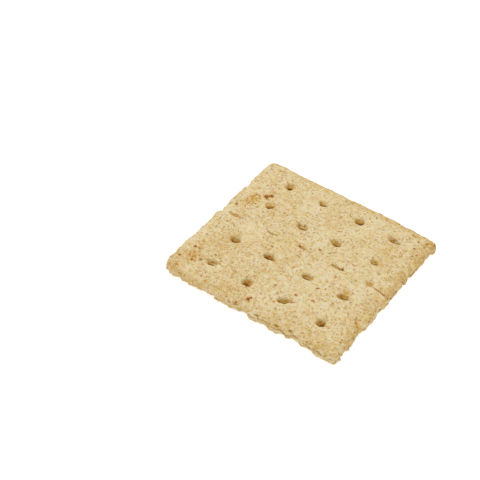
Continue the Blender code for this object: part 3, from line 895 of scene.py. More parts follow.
def makeCrustArrays():
    # Top grid, rim rows and underside grid in one list of points, joined without a gap. The ring is
    # the top's border, and its places along the edge are counted as edgePlace does.
    count, step = crust["cells"], crust["undersideStep"]
    linesX, linesY = (gridLines([place * mm for place in crust[key]]) for key in ("crowdX", "crowdY"))
    shareX, shareY = ((lines + half) / (2.0 * half) for lines in (linesX, linesY))
    around = np.concatenate([shareX[:-1], 1.0 + shareY[:-1], 3.0 - shareX[:0:-1], 4.0 - shareY[:0:-1]])
    number = np.arange((count + 1) ** 2).reshape(count + 1, count + 1)
    ring = gridBorder(number)
    downs = np.concatenate([layer + np.arange(1, rowCount + 1) / rowCount
                            for layer, rowCount in enumerate(edge["rowsPerLayer"])])
    parts = [topPart(linesX, linesY, ring), rimPart(around, downs), lowPart(linesX[::step], linesY[::step])]
    points = np.concatenate([part for part, _ in parts])
    points[:, 2] = np.clip(points[:, 2], 0.0, cadBox[1][2] + crust["highest"])
    values = {name: np.concatenate([np.broadcast_to(given[name], len(part)) for part, given in parts])
              for name in parts[0][1]}

    firstRim = number.size
    rows, perimeter = len(downs), len(around)
    rimNumber = np.vstack([ring, firstRim + np.arange(rows * perimeter).reshape(rows, perimeter)])
    following = np.roll(rimNumber, -1, axis=1)
    rimFaces = columns(rimNumber[1:], following[1:], following[:-1], rimNumber[:-1]).reshape(-1, 4)
    side = count // step - 1
    lowNumber = firstRim + rows * perimeter + np.arange(side * side).reshape(side, side)
    topFaces, lowFaces = quads(number), quads(lowNumber)[:, [0, 3, 2, 1]]
    groups = [topFaces, rimFaces, lowFaces, *borderFaces(lowNumber, rimNumber[-1])]
    sizes = np.concatenate([np.full(len(group), group.shape[1]) for group in groups])
    corners = np.concatenate([group.ravel() for group in groups])
    lowCorners = np.concatenate([group.ravel() for group in groups[2:]])
    return points, sizes, corners, crustMap(points, topFaces, lowCorners, rows, perimeter), values


# Finishes

finish = {
    # the baked tones, from the deepest brown to floury: the place along the ramp and the colour
    "tones": (
        (0.0, (0.23, 0.08, 0.01)),
        (0.14, (0.345, 0.152, 0.027)),
        (0.36, (0.445, 0.245, 0.05)),
        (0.52, (0.52, 0.322, 0.088)),
        (0.64, (0.568, 0.388, 0.138)),
        (0.82, (0.652, 0.51, 0.261)),
        (1.0, (0.718, 0.614, 0.38)),
    ),
    "usual": 0.85,
    "pale": (0.74, 0.62, 0.39),
    "cream": (0.65, 0.5, 0.25),
    "bran": (0.48, 0.255, 0.082),  # pinkish-brown bran in the dough
    "darkBran": (0.33, 0.14, 0.03),
    "pink": (0.5, 0.215, 0.085),
    "golden": (0.555, 0.335, 0.06),
    "orange": (0.5, 0.19, 0.022),
    "red": (0.33, 0.085, 0.01),
    "dark": (0.235, 0.042, 0.002),
    # what cuts and crevices turn to with depth: a toasted brown and painted shade
    "crevice": (0.44, 0.25, 0.06),
    # what the crust's colour is multiplied by, from one hue to the other
    "rosy": (1.035, 0.97, 0.99),
    "green": (0.968, 1.022, 1.005),
    "milky": (0.978, 1.018, 1.28),
    "straw": (1.02, 0.982, 0.75),
    "deep": (1.01, 0.99, 0.84),  # down in the holes: part of their painted shade, more saturated
}


def newGroup(name, inputs, outputs):
    # A shader node group: inputs are labels with their usual values, or None for a vector.
    group = bpy.data.node_groups.new(name, "ShaderNodeTree")
    for label, usual in inputs.items():
        kind = "NodeSocketVector" if usual is None else "NodeSocketFloat"
        socket = group.interface.new_socket(label, in_out="INPUT", socket_type=kind)
        if usual is not None:
            socket.default_value = usual
    for label in outputs:
        kind = "NodeSocketColor" if label == "Color" else "NodeSocketFloat"
        group.interface.new_socket(label, in_out="OUTPUT", socket_type=kind)
    return group, group.nodes.new("NodeGroupInput").outputs, group.nodes.new("NodeGroupOutput").inputs


def node(tree, kind, settings=(), **inputs):
    # One shader node: settings are its own fields, and inputs are values or the sockets that feed
    # them. An input is called by its label, or by n and its number.
    made = tree.nodes.new("ShaderNode" + kind)
    for field, value in dict(settings).items():
        setattr(made, field, value)
    for label, value in inputs.items():
        numbered = label[0] == "n" and label[1:].isdigit()
        socket = made.inputs[int(label[1:]) if numbered else label.replace("_", " ")]
        if isinstance(value, bpy.types.NodeSocket):
            tree.links.new(value, socket)
        else:
            socket.default_value = (*value, 1.0) if socket.type == "RGBA" else value
    return made


def maths(tree, operation, *values):
    # One step of arithmetic on values or sockets.
    return node(tree, "Math", {"operation": operation},
                **{f"n{number}": value for number, value in enumerate(values)}).outputs[0]


def between(tree, value, low, high, toLow=0.0, toHigh=1.0):
    # Eases from one value to another as the input goes from low to high.
    ramp = node(tree, "MapRange", {"interpolation_type": "SMOOTHSTEP"},
                n0=value, n1=low, n2=high, n3=toLow, n4=toHigh)
    return ramp.outputs[0]


def vectors(tree, operation, first, second):
    # One step of arithmetic on vectors.
    return node(tree, "VectorMath", {"operation": operation}, n0=first, n1=second).outputs[0]


def blendColour(tree, share, first, second, kind="MIX"):
    # From the first colour towards the second by the share, or their product.
    return node(tree, "Mix", {"data_type": "RGBA", "blend_type": kind},
                n0=share, n6=first, n7=second).outputs[2]


def sumUp(tree, start, *parts):
    # The start plus each value, counted from its centre, times its weight.
    total = start - sum(centre * weight for _, centre, weight in parts)
    for value, _, weight in parts:
        total = maths(tree, "MULTIPLY_ADD", value, weight, total)
    return total


def makeBranGroup():
    # Specks: cells of a warped Voronoi pattern, some of which hold a soft round spot.
    group, given, out = newGroup("branSpecks", {
        "Vector": None, "Per Metre": 900.0, "Radius": 0.25, "Share": 0.5, "Softness": 0.5, "Ragged": 0.0003,
    }, ("Mask", "Tint"))
    warp = node(group, "TexNoise", {"noise_dimensions": "3D"}, Vector=given["Vector"],
                Scale=1800.0, Detail=2.0)
    centred = vectors(group, "SUBTRACT", warp.outputs["Color"], (0.5, 0.5, 0.5))
    shifted = node(group, "VectorMath", {"operation": "SCALE"}, n0=centred, Scale=given["Ragged"])
    place = vectors(group, "ADD", given["Vector"], shifted.outputs[0])
    cells = node(group, "TexVoronoi", {"feature": "F1"}, Vector=place, Scale=given["Per Metre"])
    parts = node(group, "SeparateColor", n0=cells.outputs["Color"]).outputs
    kept = maths(group, "LESS_THAN", parts[0], given["Share"])
    size = maths(group, "MULTIPLY", maths(group, "MULTIPLY_ADD", parts[1], 0.75, 0.4), given["Radius"])
    inner = maths(group, "MULTIPLY", size, maths(group, "SUBTRACT", 1.0, given["Softness"]))
    spot = between(group, cells.outputs["Distance"], size, inner)
    group.links.new(maths(group, "MULTIPLY", spot, kept), out["Mask"])
    group.links.new(parts[2], out["Tint"])
    return group


def makeMottleGroup():
    # Soft blotches: layered noise, spread to run from 0 to 1.
    group, given, out = newGroup("mottling", {
        "Vector": None, "Per Metre": 300.0, "Detail": 2.0, "Roughness": 0.6,
    }, ("Value",))
    noise = node(group, "TexNoise", {"noise_dimensions": "3D"}, Vector=given["Vector"],
                 Scale=given["Per Metre"], Detail=given["Detail"], Roughness=given["Roughness"])
    centred = maths(group, "SUBTRACT", noise.outputs["Fac"], 0.5)
    group.links.new(maths(group, "MULTIPLY_ADD", centred, 2.2, 0.5), out["Value"])
    return group


def makeToneGroup():
    # The baked colours: the ramp of the finish's tones.
    group, given, out = newGroup("bakedTones", {"Tone": 0.8}, ("Color",))
    ramp = node(group, "ValToRGB", Fac=given["Tone"])
    stops = ramp.color_ramp.elements
    while len(stops) < len(finish["tones"]):
        stops.new(0.5)
    for stop, (place, colour) in zip(stops, finish["tones"]):
        stop.position = place
        stop.color = (*colour, 1.0)
    group.links.new(ramp.outputs["Color"], out["Color"])
    return group


def newMaterial(name, roughness, sheen=0.1):
    # A material with its shader's constants set.
    material = bpy.data.materials.new(name)
    material.use_nodes = True
    shader = material.node_tree.nodes["Principled BSDF"]
    shader.inputs["Roughness"].default_value = roughness
    shader.inputs["Specular IOR Level"].default_value = sheen
    return material, material.node_tree, shader


def addGrit(tree, shader, coords, strength):
    # The finest grains, as a small bump from layered noise.
    grit = node(tree, "TexNoise", {"noise_dimensions": "3D"}, Vector=coords, Scale=2600.0,
                Detail=4.0, Roughness=0.65)
    bump = node(tree, "Bump", Strength=strength, Distance=0.00006, Height=grit.outputs["Fac"])
    tree.links.new(bump.outputs[0], shader.inputs["Normal"])


# What the crust's colour is made of. Weights move it along the ramp of tones.
shades = {
    # mottling: how many waves for each metre, the detail, the roughness and the weight
    "mottles": {
        "broad": (130.0, 2.0, 0.6, 0.2),
        "patchy": (560.0, 2.0, 0.6, 0.22),
        "fine": (1300.0, 3.0, 0.8, 0.37),
        "grit": (3100.0, 1.0, 0.6, 0.16),
    },
    # specks: how many cells for each metre, the radius in cells, how many of them hold one, the
    # softness, the usual value, the weight, and how far they go to which finish
    "specks": (
        (1250.0, 0.62, 0.55, 0.8, 0.1, -0.16, 0.55, "bran"),
        (900.0, 0.5, 0.3, 0.6, 0.0, -0.12, 0.6, "darkBran"),
    ),
    # what darkens it: painted shade down the holes, darker the deeper, and painted shade with a toasted brown
    # in cuts and crevices; the value, where that starts and is full, and the weight
    "darkening": (
        ("hollow", 0.02, 0.3, -0.22),
        ("hollow", 0.16, 0.72, -0.95),
        ("crack", 0.04, 0.4, -0.44),
    ),
    # painted light: the relief moves the tone paler on crests and darker in pits
    "relief": 1.1,
    "mottledHole": (0.05, 0.5, 0.55),
    "baked": -0.17,
    "scorched": -0.2,
    # what it is blended to: the value, where that starts and is full, how far, and the finish
    "blends": (
        # cuts and crevices go browner with depth: painted shade with a toasted brown
        ("crack", 0.04, 0.3, 0.7, "crevice"),
        ("scorched", 0.1, 0.9, 0.75, "golden"),
        ("scorch", 1.0, 1.7, 0.95, "dark"),
    ),
    # what it is multiplied by: how many waves for each metre, and from and to which finish
    "hues": ((650.0, "rosy", "green"), (950.0, "milky", "straw")),
    "roughness": (0.92, 0.78),
    "grit": 0.35,
}


def makeCrustMaterial(branGroup, mottleGroup, toneGroup):
    # The tone is the usual one plus mottling and the relief, painted as highlight and shade, less
    # specks, holes and cracks, painted as shade, and browning with painted shade at the foot. Its
    # colour is blended to bran, crevice, golden and dark, and multiplied by the hues.
    material, tree, shader = newMaterial("bakedCrust", 0.85)
    coords = node(tree, "TexCoord").outputs["Object"]
    shifted = vectors(tree, "ADD", coords, (0.31, 0.17, 0.0))

    def times(first, second):
        # The product of two sockets or values.
        return maths(tree, "MULTIPLY", first, second)

    def mottled(perMetre, detail, roughness, where=coords):
        # One use of the mottling.
        return node(tree, "Group", {"node_tree": mottleGroup}, Vector=where, Per_Metre=perMetre,
                    Detail=detail, Roughness=roughness).outputs[0]

    def specked(perMetre, radius, share, softness):
        # One use of the specks: the mask times the tint.
        return times(*node(tree, "Group", {"node_tree": branGroup}, Vector=coords, Per_Metre=perMetre,
                           Radius=radius, Share=share, Softness=softness, Ragged=0.0006).outputs)

    given = {name: node(tree, "Attribute", {"attribute_name": name}).outputs["Fac"]
             for name in ("hollow", "crack", "relief", "baked", "scorch")}
    mottles = {name: mottled(*row[:3]) for name, row in shades["mottles"].items()}
    fine = mottles["fine"]
    specks = [(specked(*row[:4]), *row[4:]) for row in shades["specks"]]
    given["scorched"] = times(given["scorch"], between(tree, fine, 0.75, 0.35, 0.25, 1.25))
    low, high, weight = shades["mottledHole"]
    mottledHole = times(between(tree, given["hollow"], low, high), maths(tree, "SUBTRACT", fine, 0.5))
    baked = times(given["baked"], between(tree, mottles["patchy"], 0.9, 0.1, 0.5, 1.2))
    # The hollow and crack terms are painted shade in the holes, cuts and crevices, and the relief paints
    # crests paler and pits darker.
    tone = sumUp(
        tree, finish["usual"],
        *((mottles[name], 0.5, row[3]) for name, row in shades["mottles"].items()),
        *(row[:3] for row in specks),
        *((between(tree, given[name], start, end), 0.0, much)
          for name, start, end, much in shades["darkening"]),
        (given["relief"], 0.0, shades["relief"]),
        (mottledHole, 0.0, weight),
        (baked, 0.0, shades["baked"]),
        (given["scorched"], 0.0, shades["scorched"]),
    )
    colour = node(tree, "Group", {"node_tree": toneGroup}, Tone=tone).outputs["Color"]
    for mask, _, _, most, name in specks:
        colour = blendColour(tree, times(mask, most), colour, finish[name])
    for value, start, end, most, name in shades["blends"]:
        share = between(tree, given[value], start, end, 0.0, most)
        colour = blendColour(tree, share, colour, finish[name])
    # Down the holes the colour is made more saturated, as part of their painted shade.
    deep = blendColour(tree, between(tree, given["hollow"], 0.02, 0.4), (1.0, 1.0, 1.0), finish["deep"])
    colour = blendColour(tree, 1.0, colour, deep, "MULTIPLY")
    for perMetre, first, second in shades["hues"]:
        share = between(tree, mottled(perMetre, 3.0, 0.85, shifted), 0.0, 1.0)
        hue = blendColour(tree, share, finish[first], finish[second])
        colour = blendColour(tree, 1.0, colour, hue, "MULTIPLY")
    tree.links.new(colour, shader.inputs["Base Color"])
    tree.links.new(between(tree, fine, 0.0, 1.0, *shades["roughness"]), shader.inputs["Roughness"])
    addGrit(tree, shader, coords, shades["grit"])
    return material


def makeBitsMaterial(mottleGroup):
    # Each bit has its own tint, made lighter and darker by fine mottling.
    material, tree, shader = newMaterial("bakedBits", 0.75)
    coords = node(tree, "TexCoord").outputs["Object"]
    tint = node(tree, "Attribute", {"attribute_name": "tint"}).outputs["Color"]
    fine = node(tree, "Group", {"node_tree": mottleGroup}, Vector=coords, Per_Metre=2600.0, Detail=2.0)
    shade = between(tree, fine.outputs[0], 0.1, 0.9, 0.72, 1.22)
    grey = node(tree, "CombineColor", n0=shade, n1=shade, n2=shade).outputs[0]
    tree.links.new(blendColour(tree, 1.0, tint, grey, "MULTIPLY"), shader.inputs["Base Color"])
    addGrit(tree, shader, coords, 0.3)
    return material


mottleGroup = makeMottleGroup()
crustMaterial = makeCrustMaterial(makeBranGroup(), mottleGroup, makeToneGroup())
bitsMaterial = makeBitsMaterial(mottleGroup)
crustPoints, crustSizes, crustCorners, crustMap, crustValues = makeCrustArrays()
crustMesh = makeMesh("crackerCrust", crustPoints, crustSizes, crustCorners, crustMap)
for valueName, pointValue in crustValues.items():
    pointValues(crustMesh, valueName, pointValue)
crackerCrust = addPiece("crackerCrust", crustMesh, crustMaterial)
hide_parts("cracker")
print("crust:", len(crustPoints), "points,", int(np.sum(crustSizes - 2)), "triangles")


# Bran flakes, toasted flakes and crumbs

def mapCells(count):
    # The flat map's share for each of many bits: the middle of its small square, and how many
    # squares there are side by side.
    across = math.ceil(math.sqrt(count))
    return columns(np.arange(count) % across, np.arange(count) // across)[:, None] + 0.5, across


def repeated(faces, count, perBit):
    # One bit's faces, for every bit.
    return (faces[None] + (np.arange(count) * perBit)[:, None, None]).reshape(-1, 3)


def pickColours(kinds, count, chance):
    # A colour for each bit, drawn by the shares of the kinds.
    names, shares = zip(*kinds)
    return np.array([finish[name] for name in names])[chance.choice(len(names), count, p=shares)]


flakes = {
    "sides": 7,
    "rootDepth": 0.12 * mm,  # how far a flake goes down into the crust
    "topCount": 2450,
    "rimCount": 760,
    "halfLong": (0.2 * mm, 0.53 * mm),
    "unevenness": (0.72, 1.22),
    "margin": 2.1 * mm,  # from the square's side
    "rimLayers": (0.3, 7.9),  # the first layer they lie at, and how many more
    "burntFrom": 0.95,  # how strong a scorch has to be for a dark mark
    "squash": (0.45, 0.95),
    "rings": ((1.0, -0.006 * mm), (0.8, 0.038 * mm)),
    "crown": 0.07 * mm,
    "edgeBlend": 0.45,  # how far a flake's edge takes the crust's colour
    "usual": 0.5,  # the share of places that keep their flake
    "clumps": 0.6,  # how much more or less in a clump
    "clumping": 5.0 * mm,
    "rightHand": (0.3, 22.0 * mm, 6.0 * mm),  # how much more there, from where and over how far
    "deepest": 0.3,  # how far down a hole's wall they lie
    "kinds": (("bran", 0.45), ("golden", 0.25), ("orange", 0.16), ("darkBran", 0.11), ("red", 0.03)),
    "faintness": (0.05, 0.7),  # how far a whole flake goes towards the crust's colour
    "seed": 4021,
}


def ringFlakes(middles, along, across, up, sizes, shape, onTop, chance):
    # Each flake is rings of points round its middle, at a size times the cosine along and the sine
    # across, under a crown and over a root. On the top, heights come from the top itself. Then the
    # faces, the flat map, and how far out each point lies.
    count, sides = len(middles), shape["sides"]
    angles = (np.arange(sides) + chance.uniform(-0.25, 0.25, (count, sides))) * 2.0 * math.pi / sides
    uneven = chance.uniform(*flakes["unevenness"], (count, sides))
    layers = []
    for scale, lift in shape["rings"]:
        reachA = (sizes[:, :1] * uneven * scale * np.cos(angles))[..., None]
        reachB = (sizes[:, 1:] * uneven * scale * np.sin(angles))[..., None]
        ring = middles[:, None] + along[:, None] * reachA + across[:, None] * reachB
        if onTop:
            heights = topHeight(ring[..., 0].ravel(), ring[..., 1].ravel())[0]
            ring[..., 2] = heights.reshape(count, sides)
        layers.append(ring + up[:, None] * lift)
    crown = (middles + up * shape["crown"])[:, None]
    root = (middles - up * flakes["rootDepth"])[:, None]
    points = np.concatenate(layers + [crown, root], axis=1)
    points[..., 2] = np.clip(points[..., 2], 0.0, None)

    one = np.arange(sides)
    two = (one + 1) % sides
    last = (len(layers) - 1) * sides
    faces = [columns(two, one, np.full(sides, last + sides + 1))]
    for outer in range(0, last, sides):
        inner = outer + sides
        faces.append(columns(outer + one, outer + two, inner + two))
        faces.append(columns(outer + one, inner + two, inner + one))
    faces = np.concatenate([*faces, columns(last + one, last + two, np.full(sides, last + sides))])

    cell, across2d = mapCells(count)
    spread = np.concatenate([np.full(sides, scale) for scale, _ in shape["rings"]] + [[0.0, 0.0]])
    turn = np.concatenate([angles] * len(layers) + [np.zeros((count, 2))], axis=1)
    offset = columns(np.cos(turn), np.sin(turn)) * spread[None, :, None] * 0.42
    map2d = (cell + offset) / across2d
    return points.reshape(-1, 3), repeated(faces, count, points.shape[1]), map2d.reshape(-1, 2), spread


def addBits(name, points, faces, map2d, tints):
    # One piece of many bits, flat shaded, with a tint for each point.
    mesh = makeMesh(name, points, np.full(len(faces), 3), faces.ravel(), map2d[faces.ravel()], False)
    attribute = mesh.attributes.new("tint", "FLOAT_COLOR", "POINT")
    colours = np.column_stack([tints, np.ones(len(tints))])
    attribute.data.foreach_set("color", colours.astype(np.float32).ravel())
    addPiece(name, mesh, bitsMaterial)
    print(name, len(faces), "triangles")


def flakeBatch(frames, sizes, shape, onTop, chance, pick):
    # The points, faces, flat map and tints of flakes on the top or on the cut edge. A flake has its own
    # colour at its crown, going towards the crust's at its edge.
    points, faces, map2d, spread = ringFlakes(*frames, sizes, shape, onTop, chance)
    share = (shape["edgeBlend"] * spread)[None, :, None]
    tints = pick()[:, None] * (1.0 - share) + np.array(finish["cream"]) * share
    return points, faces, map2d * [0.5, 1.0] + [0.0 if onTop else 0.5, 0.0], tints.reshape(-1, 3)


def joinBits(groups):
    # Several batches as one.
    points, faces, map2d, tints = zip(*groups)
    shifts = np.cumsum([0] + [len(some) for some in points])
    faces = [some + shift for some, shift in zip(faces, shifts)]
    return [np.concatenate(parts) for parts in (points, faces, map2d, tints)]


def burnt(x, y):
    # Whether a place is one of the dark marks, where only the listed toasted flakes lie.
    return scorchShare(np.atleast_1d(x), np.atleast_1d(y)) > flakes["burntFrom"]


def topFrames(x, y, turns):
    # Where a flake stands on the top, and its two ways along it.
    middles = columns(x, y, topHeight(x, y)[0])
    along = columns(np.cos(turns), np.sin(turns), np.zeros_like(turns))
    across = columns(-np.sin(turns), np.cos(turns), np.zeros_like(turns))
    up = np.tile([0.0, 0.0, 1.0], (len(x), 1))
    return middles, along, across, up


def rimFrames(around, down, turns):
    # The same on the cut edge, where up is the rim's own normal.
    middles, _, up = rimSurface(around, down)
    side = np.cross(up, [0.0, 0.0, 1.0])
    side /= np.linalg.norm(side, axis=1, keepdims=True) + 1e-9
    other = np.cross(up, side)
    cos, sin = np.cos(turns)[:, None], np.sin(turns)[:, None]
    return middles, side * cos + other * sin, other * cos - side * sin, up


def branColours(count, chance):
    # A kind for each flake, blended at random towards the crust's colour.
    colours = pickColours(flakes["kinds"], count, chance)
    faint = chance.uniform(*flakes["faintness"], count)[:, None]
    return colours * (1.0 - faint) + np.array(finish["cream"]) * faint


def makeBranFlakes():
    # Flakes at random places of the top, kept where a broad noise and the right-hand side favour
    # them, and more on the cut edge.
    chance = np.random.default_rng(flakes["seed"])
    reach = half - flakes["margin"]
    x, y = chance.uniform(-reach, reach, (2, flakes["topCount"] * 2))
    more, start, width = flakes["rightHand"]
    favour = flakes["usual"] + flakes["clumps"] * ripple(x, y, flakes["clumping"], 91)
    favour += more * smooth((x - start) / width)
    free = ~burnt(x, y) & (holeDepths(x, y)[1] < flakes["deepest"])
    kept = np.flatnonzero((chance.random(len(x)) < favour) & free)[:flakes["topCount"]]
    onTop = topFrames(x[kept], y[kept], chance.uniform(0.0, math.pi, len(kept)))
    rimCount = flakes["rimCount"]
    first, further = flakes["rimLayers"]
    around = chance.uniform(0.0, 4.0, rimCount)
    down = first + further * chance.random(rimCount) ** 1.25
    onRim = rimFrames(around, down, chance.uniform(0.0, math.pi, rimCount))
    low, high = flakes["halfLong"]
    groups = []
    for frames in (onTop, onRim):
        count = len(frames[0])
        long = low + (high - low) * chance.random(count) ** 2
        sizes = columns(long, long * chance.uniform(*flakes["squash"], count))
        groups.append(flakeBatch(frames, sizes, flakes, frames is onTop, chance,
                                 lambda: branColours(count, chance)))
    addBits("branFlakes", *joinBits(groups))


# The toasted flakes that stand out, in millimetres: the middle, half the length and width, the
# turn in degrees and the colour
toasted = {
    "sides": 11,
    "growth": 1.3,  # how much larger they stand than the places say
    "crowd": 1.7,  # small flakes for each square millimetre of a scorch's half widths
    "crowdSize": (0.12, 0.36),
    "crowdSquash": (0.55, 0.95),
    "crowdSpread": 0.66,  # how far they scatter, over the half widths
    "crowdLimit": 29.8,  # they lie no further out than this
    "crowdKinds": (("golden", 0.32), ("orange", 0.22), ("red", 0.07), ("darkBran", 0.12), ("bran", 0.27)),
    "rings": ((1.0, -0.006 * mm), (0.82, 0.05 * mm), (0.5, 0.08 * mm)),
    "crown": 0.095 * mm,
    "edgeBlend": 0.26,
    "seed": 88,
    "places": (
        (-22.6, 13.9, 0.42, 0.36, 60, "dark"), (-22.5, 14.75, 0.34, 0.26, 60, "dark"),
        (-21.45, 15.9, 0.34, 0.3, 50, "dark"), (-23.1, 13.95, 0.26, 0.22, 0, "red"),
        (-21.95, 13.75, 0.26, 0.22, 0, "orange"), (-20.8, 15.7, 0.24, 0.2, 0, "red"),
        (-26.8, 16.5, 0.56, 0.26, 42, "orange"), (-24, 12.3, 0.58, 0.46, 0, "golden"),
        (-26, 12.7, 0.36, 0.28, 20, "orange"), (-25.7, 10.7, 0.42, 0.3, 70, "orange"),
        (-26.7, 9, 0.42, 0.34, 10, "orange"), (-25.7, 8.3, 0.38, 0.3, 120, "orange"),
        (-23.7, 9.3, 0.36, 0.3, 30, "orange"), (-26.9, 11.4, 0.5, 0.35, 40, "golden"),
        (-24.9, 11.6, 0.45, 0.3, 100, "golden"), (-25.1, 9.6, 0.5, 0.32, 15, "golden"),
        (-27.2, 10.1, 0.34, 0.28, 0, "orange"), (-24.4, 8.2, 0.34, 0.26, 60, "golden"),
        (-28.5, 5.7, 0.44, 0.36, 0, "red"), (-29, 7, 0.32, 0.26, 0, "pink"),
        (-13.85, 11.55, 0.27, 0.24, 30, "darkBran"), (-12.75, 11.3, 0.25, 0.22, 0, "darkBran"),
        (4, 4.1, 0.44, 0.38, 0, "red"), (-8.5, -4.1, 0.44, 0.32, 20, "darkBran"),
        (-26, -3.2, 0.46, 0.38, 0, "pink"), (12.3, -10.7, 0.55, 0.32, 50, "darkBran"),
        (0.3, -2.7, 0.8, 0.26, -20, "bran"), (14.2, -3.2, 0.5, 0.34, 90, "bran"),
        (14.2, -16.5, 0.46, 0.38, 0, "orange"), (8.5, -17.3, 0.38, 0.32, 0, "red"),
        (-1.55, -26.75, 0.44, 0.38, 0, "red"), (-1.9, -27.75, 0.46, 0.4, 70, "dark"),
        (-1.25, -27.3, 0.24, 0.2, 0, "pale"), (-2.35, -27.1, 0.34, 0.28, 0, "orange"),
        (-20.5, -18, 0.32, 0.26, 0, "darkBran"), (-6.25, -20.75, 0.28, 0.25, 0, "red"),
        (-26.7, -15.5, 0.52, 0.36, 30, "orange"), (-27.5, -19, 0.5, 0.46, 0, "red"),
        (-26, -19, 0.36, 0.3, 0, "orange"), (-26.7, -17.3, 0.42, 0.3, 60, "golden"),
        (-27, -23, 0.44, 0.34, 0, "orange"), (-25.2, -24.3, 0.48, 0.38, 0, "red"),
        (-22.8, -22.8, 0.44, 0.38, 0, "red"), (-24, -24.3, 0.38, 0.3, 0, "orange"),
        (-25.8, -23.2, 0.4, 0.32, 0, "red"), (-29.3, -24.8, 0.44, 0.38, 0, "red"),
        (-27.7, -28.8, 0.5, 0.38, 0, "orange"), (-25.2, -22.5, 0.4, 0.3, 90, "orange"),
        (-25.1, -26.3, 0.38, 0.3, 0, "golden"), (-26.3, -21.2, 0.42, 0.34, 90, "orange"),
        (-27.9, -11.9, 0.34, 0.3, 0, "bran"), (-11.3, -20.4, 0.42, 0.32, 0, "bran"),
        (-12.4, -15.4, 0.38, 0.3, 0, "bran"), (-17.1, -29.4, 0.44, 0.32, 0, "golden"),
        (-5.9, -18.2, 0.38, 0.3, 40, "bran"), (-17.1, -20.7, 0.34, 0.28, 0, "orange"),
        (6.9, -26.2, 0.34, 0.26, 30, "bran"), (16.3, -26.2, 0.34, 0.26, 0, "bran"),
        (24.2, -29.5, 0.42, 0.34, 0, "bran"), (29.3, -24.5, 0.34, 0.3, 0, "orange"),
        (29.5, -25.6, 0.32, 0.28, 0, "red"), (18.5, -29.3, 0.36, 0.26, 20, "bran"),
        (21.9, -13.8, 0.36, 0.3, 0, "bran"), (14.1, -27.1, 0.38, 0.3, 0, "bran"),
        (10.2, -28.8, 0.34, 0.26, 0, "bran"), (29, -15.6, 0.55, 0.2, -40, "orange"),
        (29.9, -16.3, 0.45, 0.18, -40, "golden"), (29, -10.8, 0.32, 0.24, 0, "bran"),
        (27.5, 23.2, 0.36, 0.32, 0, "red"), (24.8, 28.5, 0.48, 0.28, 0, "orange"),
        (27, 26.8, 0.4, 0.34, 0, "red"), (29.5, 27.9, 0.46, 0.34, 60, "darkBran"),
        (29.6, 25.9, 0.36, 0.26, 90, "bran"), (29.4, 21.4, 0.38, 0.32, 0, "orange"),
        (28.6, 18.9, 0.36, 0.3, 0, "bran"), (29.4, 12, 0.34, 0.26, 0, "bran"),
        (27.8, 1.7, 0.34, 0.28, 0, "bran"), (24.2, 6.4, 0.34, 0.3, 0, "bran"),
        (28.5, -9.3, 0.36, 0.3, 0, "bran"), (29.5, -4, 0.32, 0.24, 0, "bran"),
        (10.8, 28.2, 0.4, 0.32, 0, "golden"), (21.7, 17.8, 0.32, 0.26, 0, "bran"),
        (24.9, 1.2, 0.34, 0.26, 40, "orange"), (23.6, 0.3, 0.36, 0.26, 10, "bran"),
        (5.5, 0.2, 0.3, 0.24, 0, "golden"), (3.8, -0.2, 0.28, 0.22, 0, "bran"),
        (14.1, 1.4, 0.42, 0.26, 100, "red"), (-1.2, 1.6, 0.4, 0.26, 0, "orange"),
        (-1.9, 1.8, 0.34, 0.24, 0, "red"), (-0.2, 1.3, 0.34, 0.22, 0, "darkBran"),
        (13.2, 0.8, 0.48, 0.26, -5, "orange"), (14.4, 0.6, 0.4, 0.28, 0, "golden"),
        (11.4, 1.1, 0.46, 0.24, -5, "golden"), (-24.6, 13.4, 0.42, 0.3, 0, "orange"),
        (-25.3, 13.7, 0.36, 0.26, 0, "golden"), (-23.6, 10.7, 0.4, 0.26, 60, "golden"),
    ),
    # and on the cut edge: the side, the place along it, the layer, and the same
    "rimPlaces": (
        ("right", 30.8, 2.2, 0.46, 0.34, 0, "darkBran"), ("right", 29.6, 3.4, 0.5, 0.34, 0, "red"),
        ("right", 29, 1.2, 0.38, 0.3, 0, "red"), ("right", 27.8, 2.6, 0.36, 0.26, 0, "orange"),
        ("back", 30.4, 1.4, 0.42, 0.28, 0, "orange"), ("right", 30, 6.4, 0.46, 0.34, 0, "darkBran"),
        ("right", 11.1, 4.4, 0.45, 0.4, 0, "red"), ("right", -11.9, 2.8, 0.4, 0.32, 0, "red"),
        ("right", -20.8, 3, 0.4, 0.28, 0, "darkBran"), ("right", -25.4, 3.2, 0.36, 0.3, 0, "orange"),
        ("front", -4.4, 1.2, 0.4, 0.32, 0, "darkBran"), ("front", -8.1, 0.8, 0.34, 0.26, 0, "bran"),
        ("front", 15, 4.9, 0.42, 0.3, 0, "orange"), ("front", 20.8, 4.6, 0.55, 0.36, 0, "orange"),
        ("front", 8.2, 2.2, 0.36, 0.26, 0, "darkBran"), ("front", 14.8, 0.8, 0.44, 0.26, 0, "darkBran"),
        ("front", -23.2, 1.4, 0.4, 0.28, 0, "bran"), ("front", -25.2, 2, 0.36, 0.28, 0, "orange"),
        ("back", -12, 3.4, 0.5, 0.3, 0, "orange"), ("left", -9, 1.6, 0.45, 0.3, 0, "bran"),
        ("left", 14, 2.2, 0.5, 0.32, 0, "orange"), ("back", 6, 5, 0.4, 0.32, 0, "orange"),
    ),
}


def scorchedRows(chance):
    # Small flakes crowded round the middle of each scorch, as rows like those of the places.
    names, shares = zip(*toasted["crowdKinds"])
    rows = []
    for middleX, middleY, halfX, halfY, tilt, strength in browning["scorches"]:
        for _ in range(round(toasted["crowd"] * halfX * halfY * strength)):
            along, across = chance.normal(0.0, toasted["crowdSpread"], 2) * (halfX, halfY)
            awayX, awayY = turned(along, across, -math.radians(tilt))
            x, y = middleX + awayX, middleY + awayY
            if max(abs(x), abs(y)) < toasted["crowdLimit"] and not burnt(x * mm, y * mm):
                size = chance.uniform(*toasted["crowdSize"])
                width = size * chance.uniform(*toasted["crowdSquash"])
                turn = chance.uniform(0.0, 180.0)
                rows.append((x, y, size, width, turn, names[chance.choice(len(names), p=shares)]))
    return rows


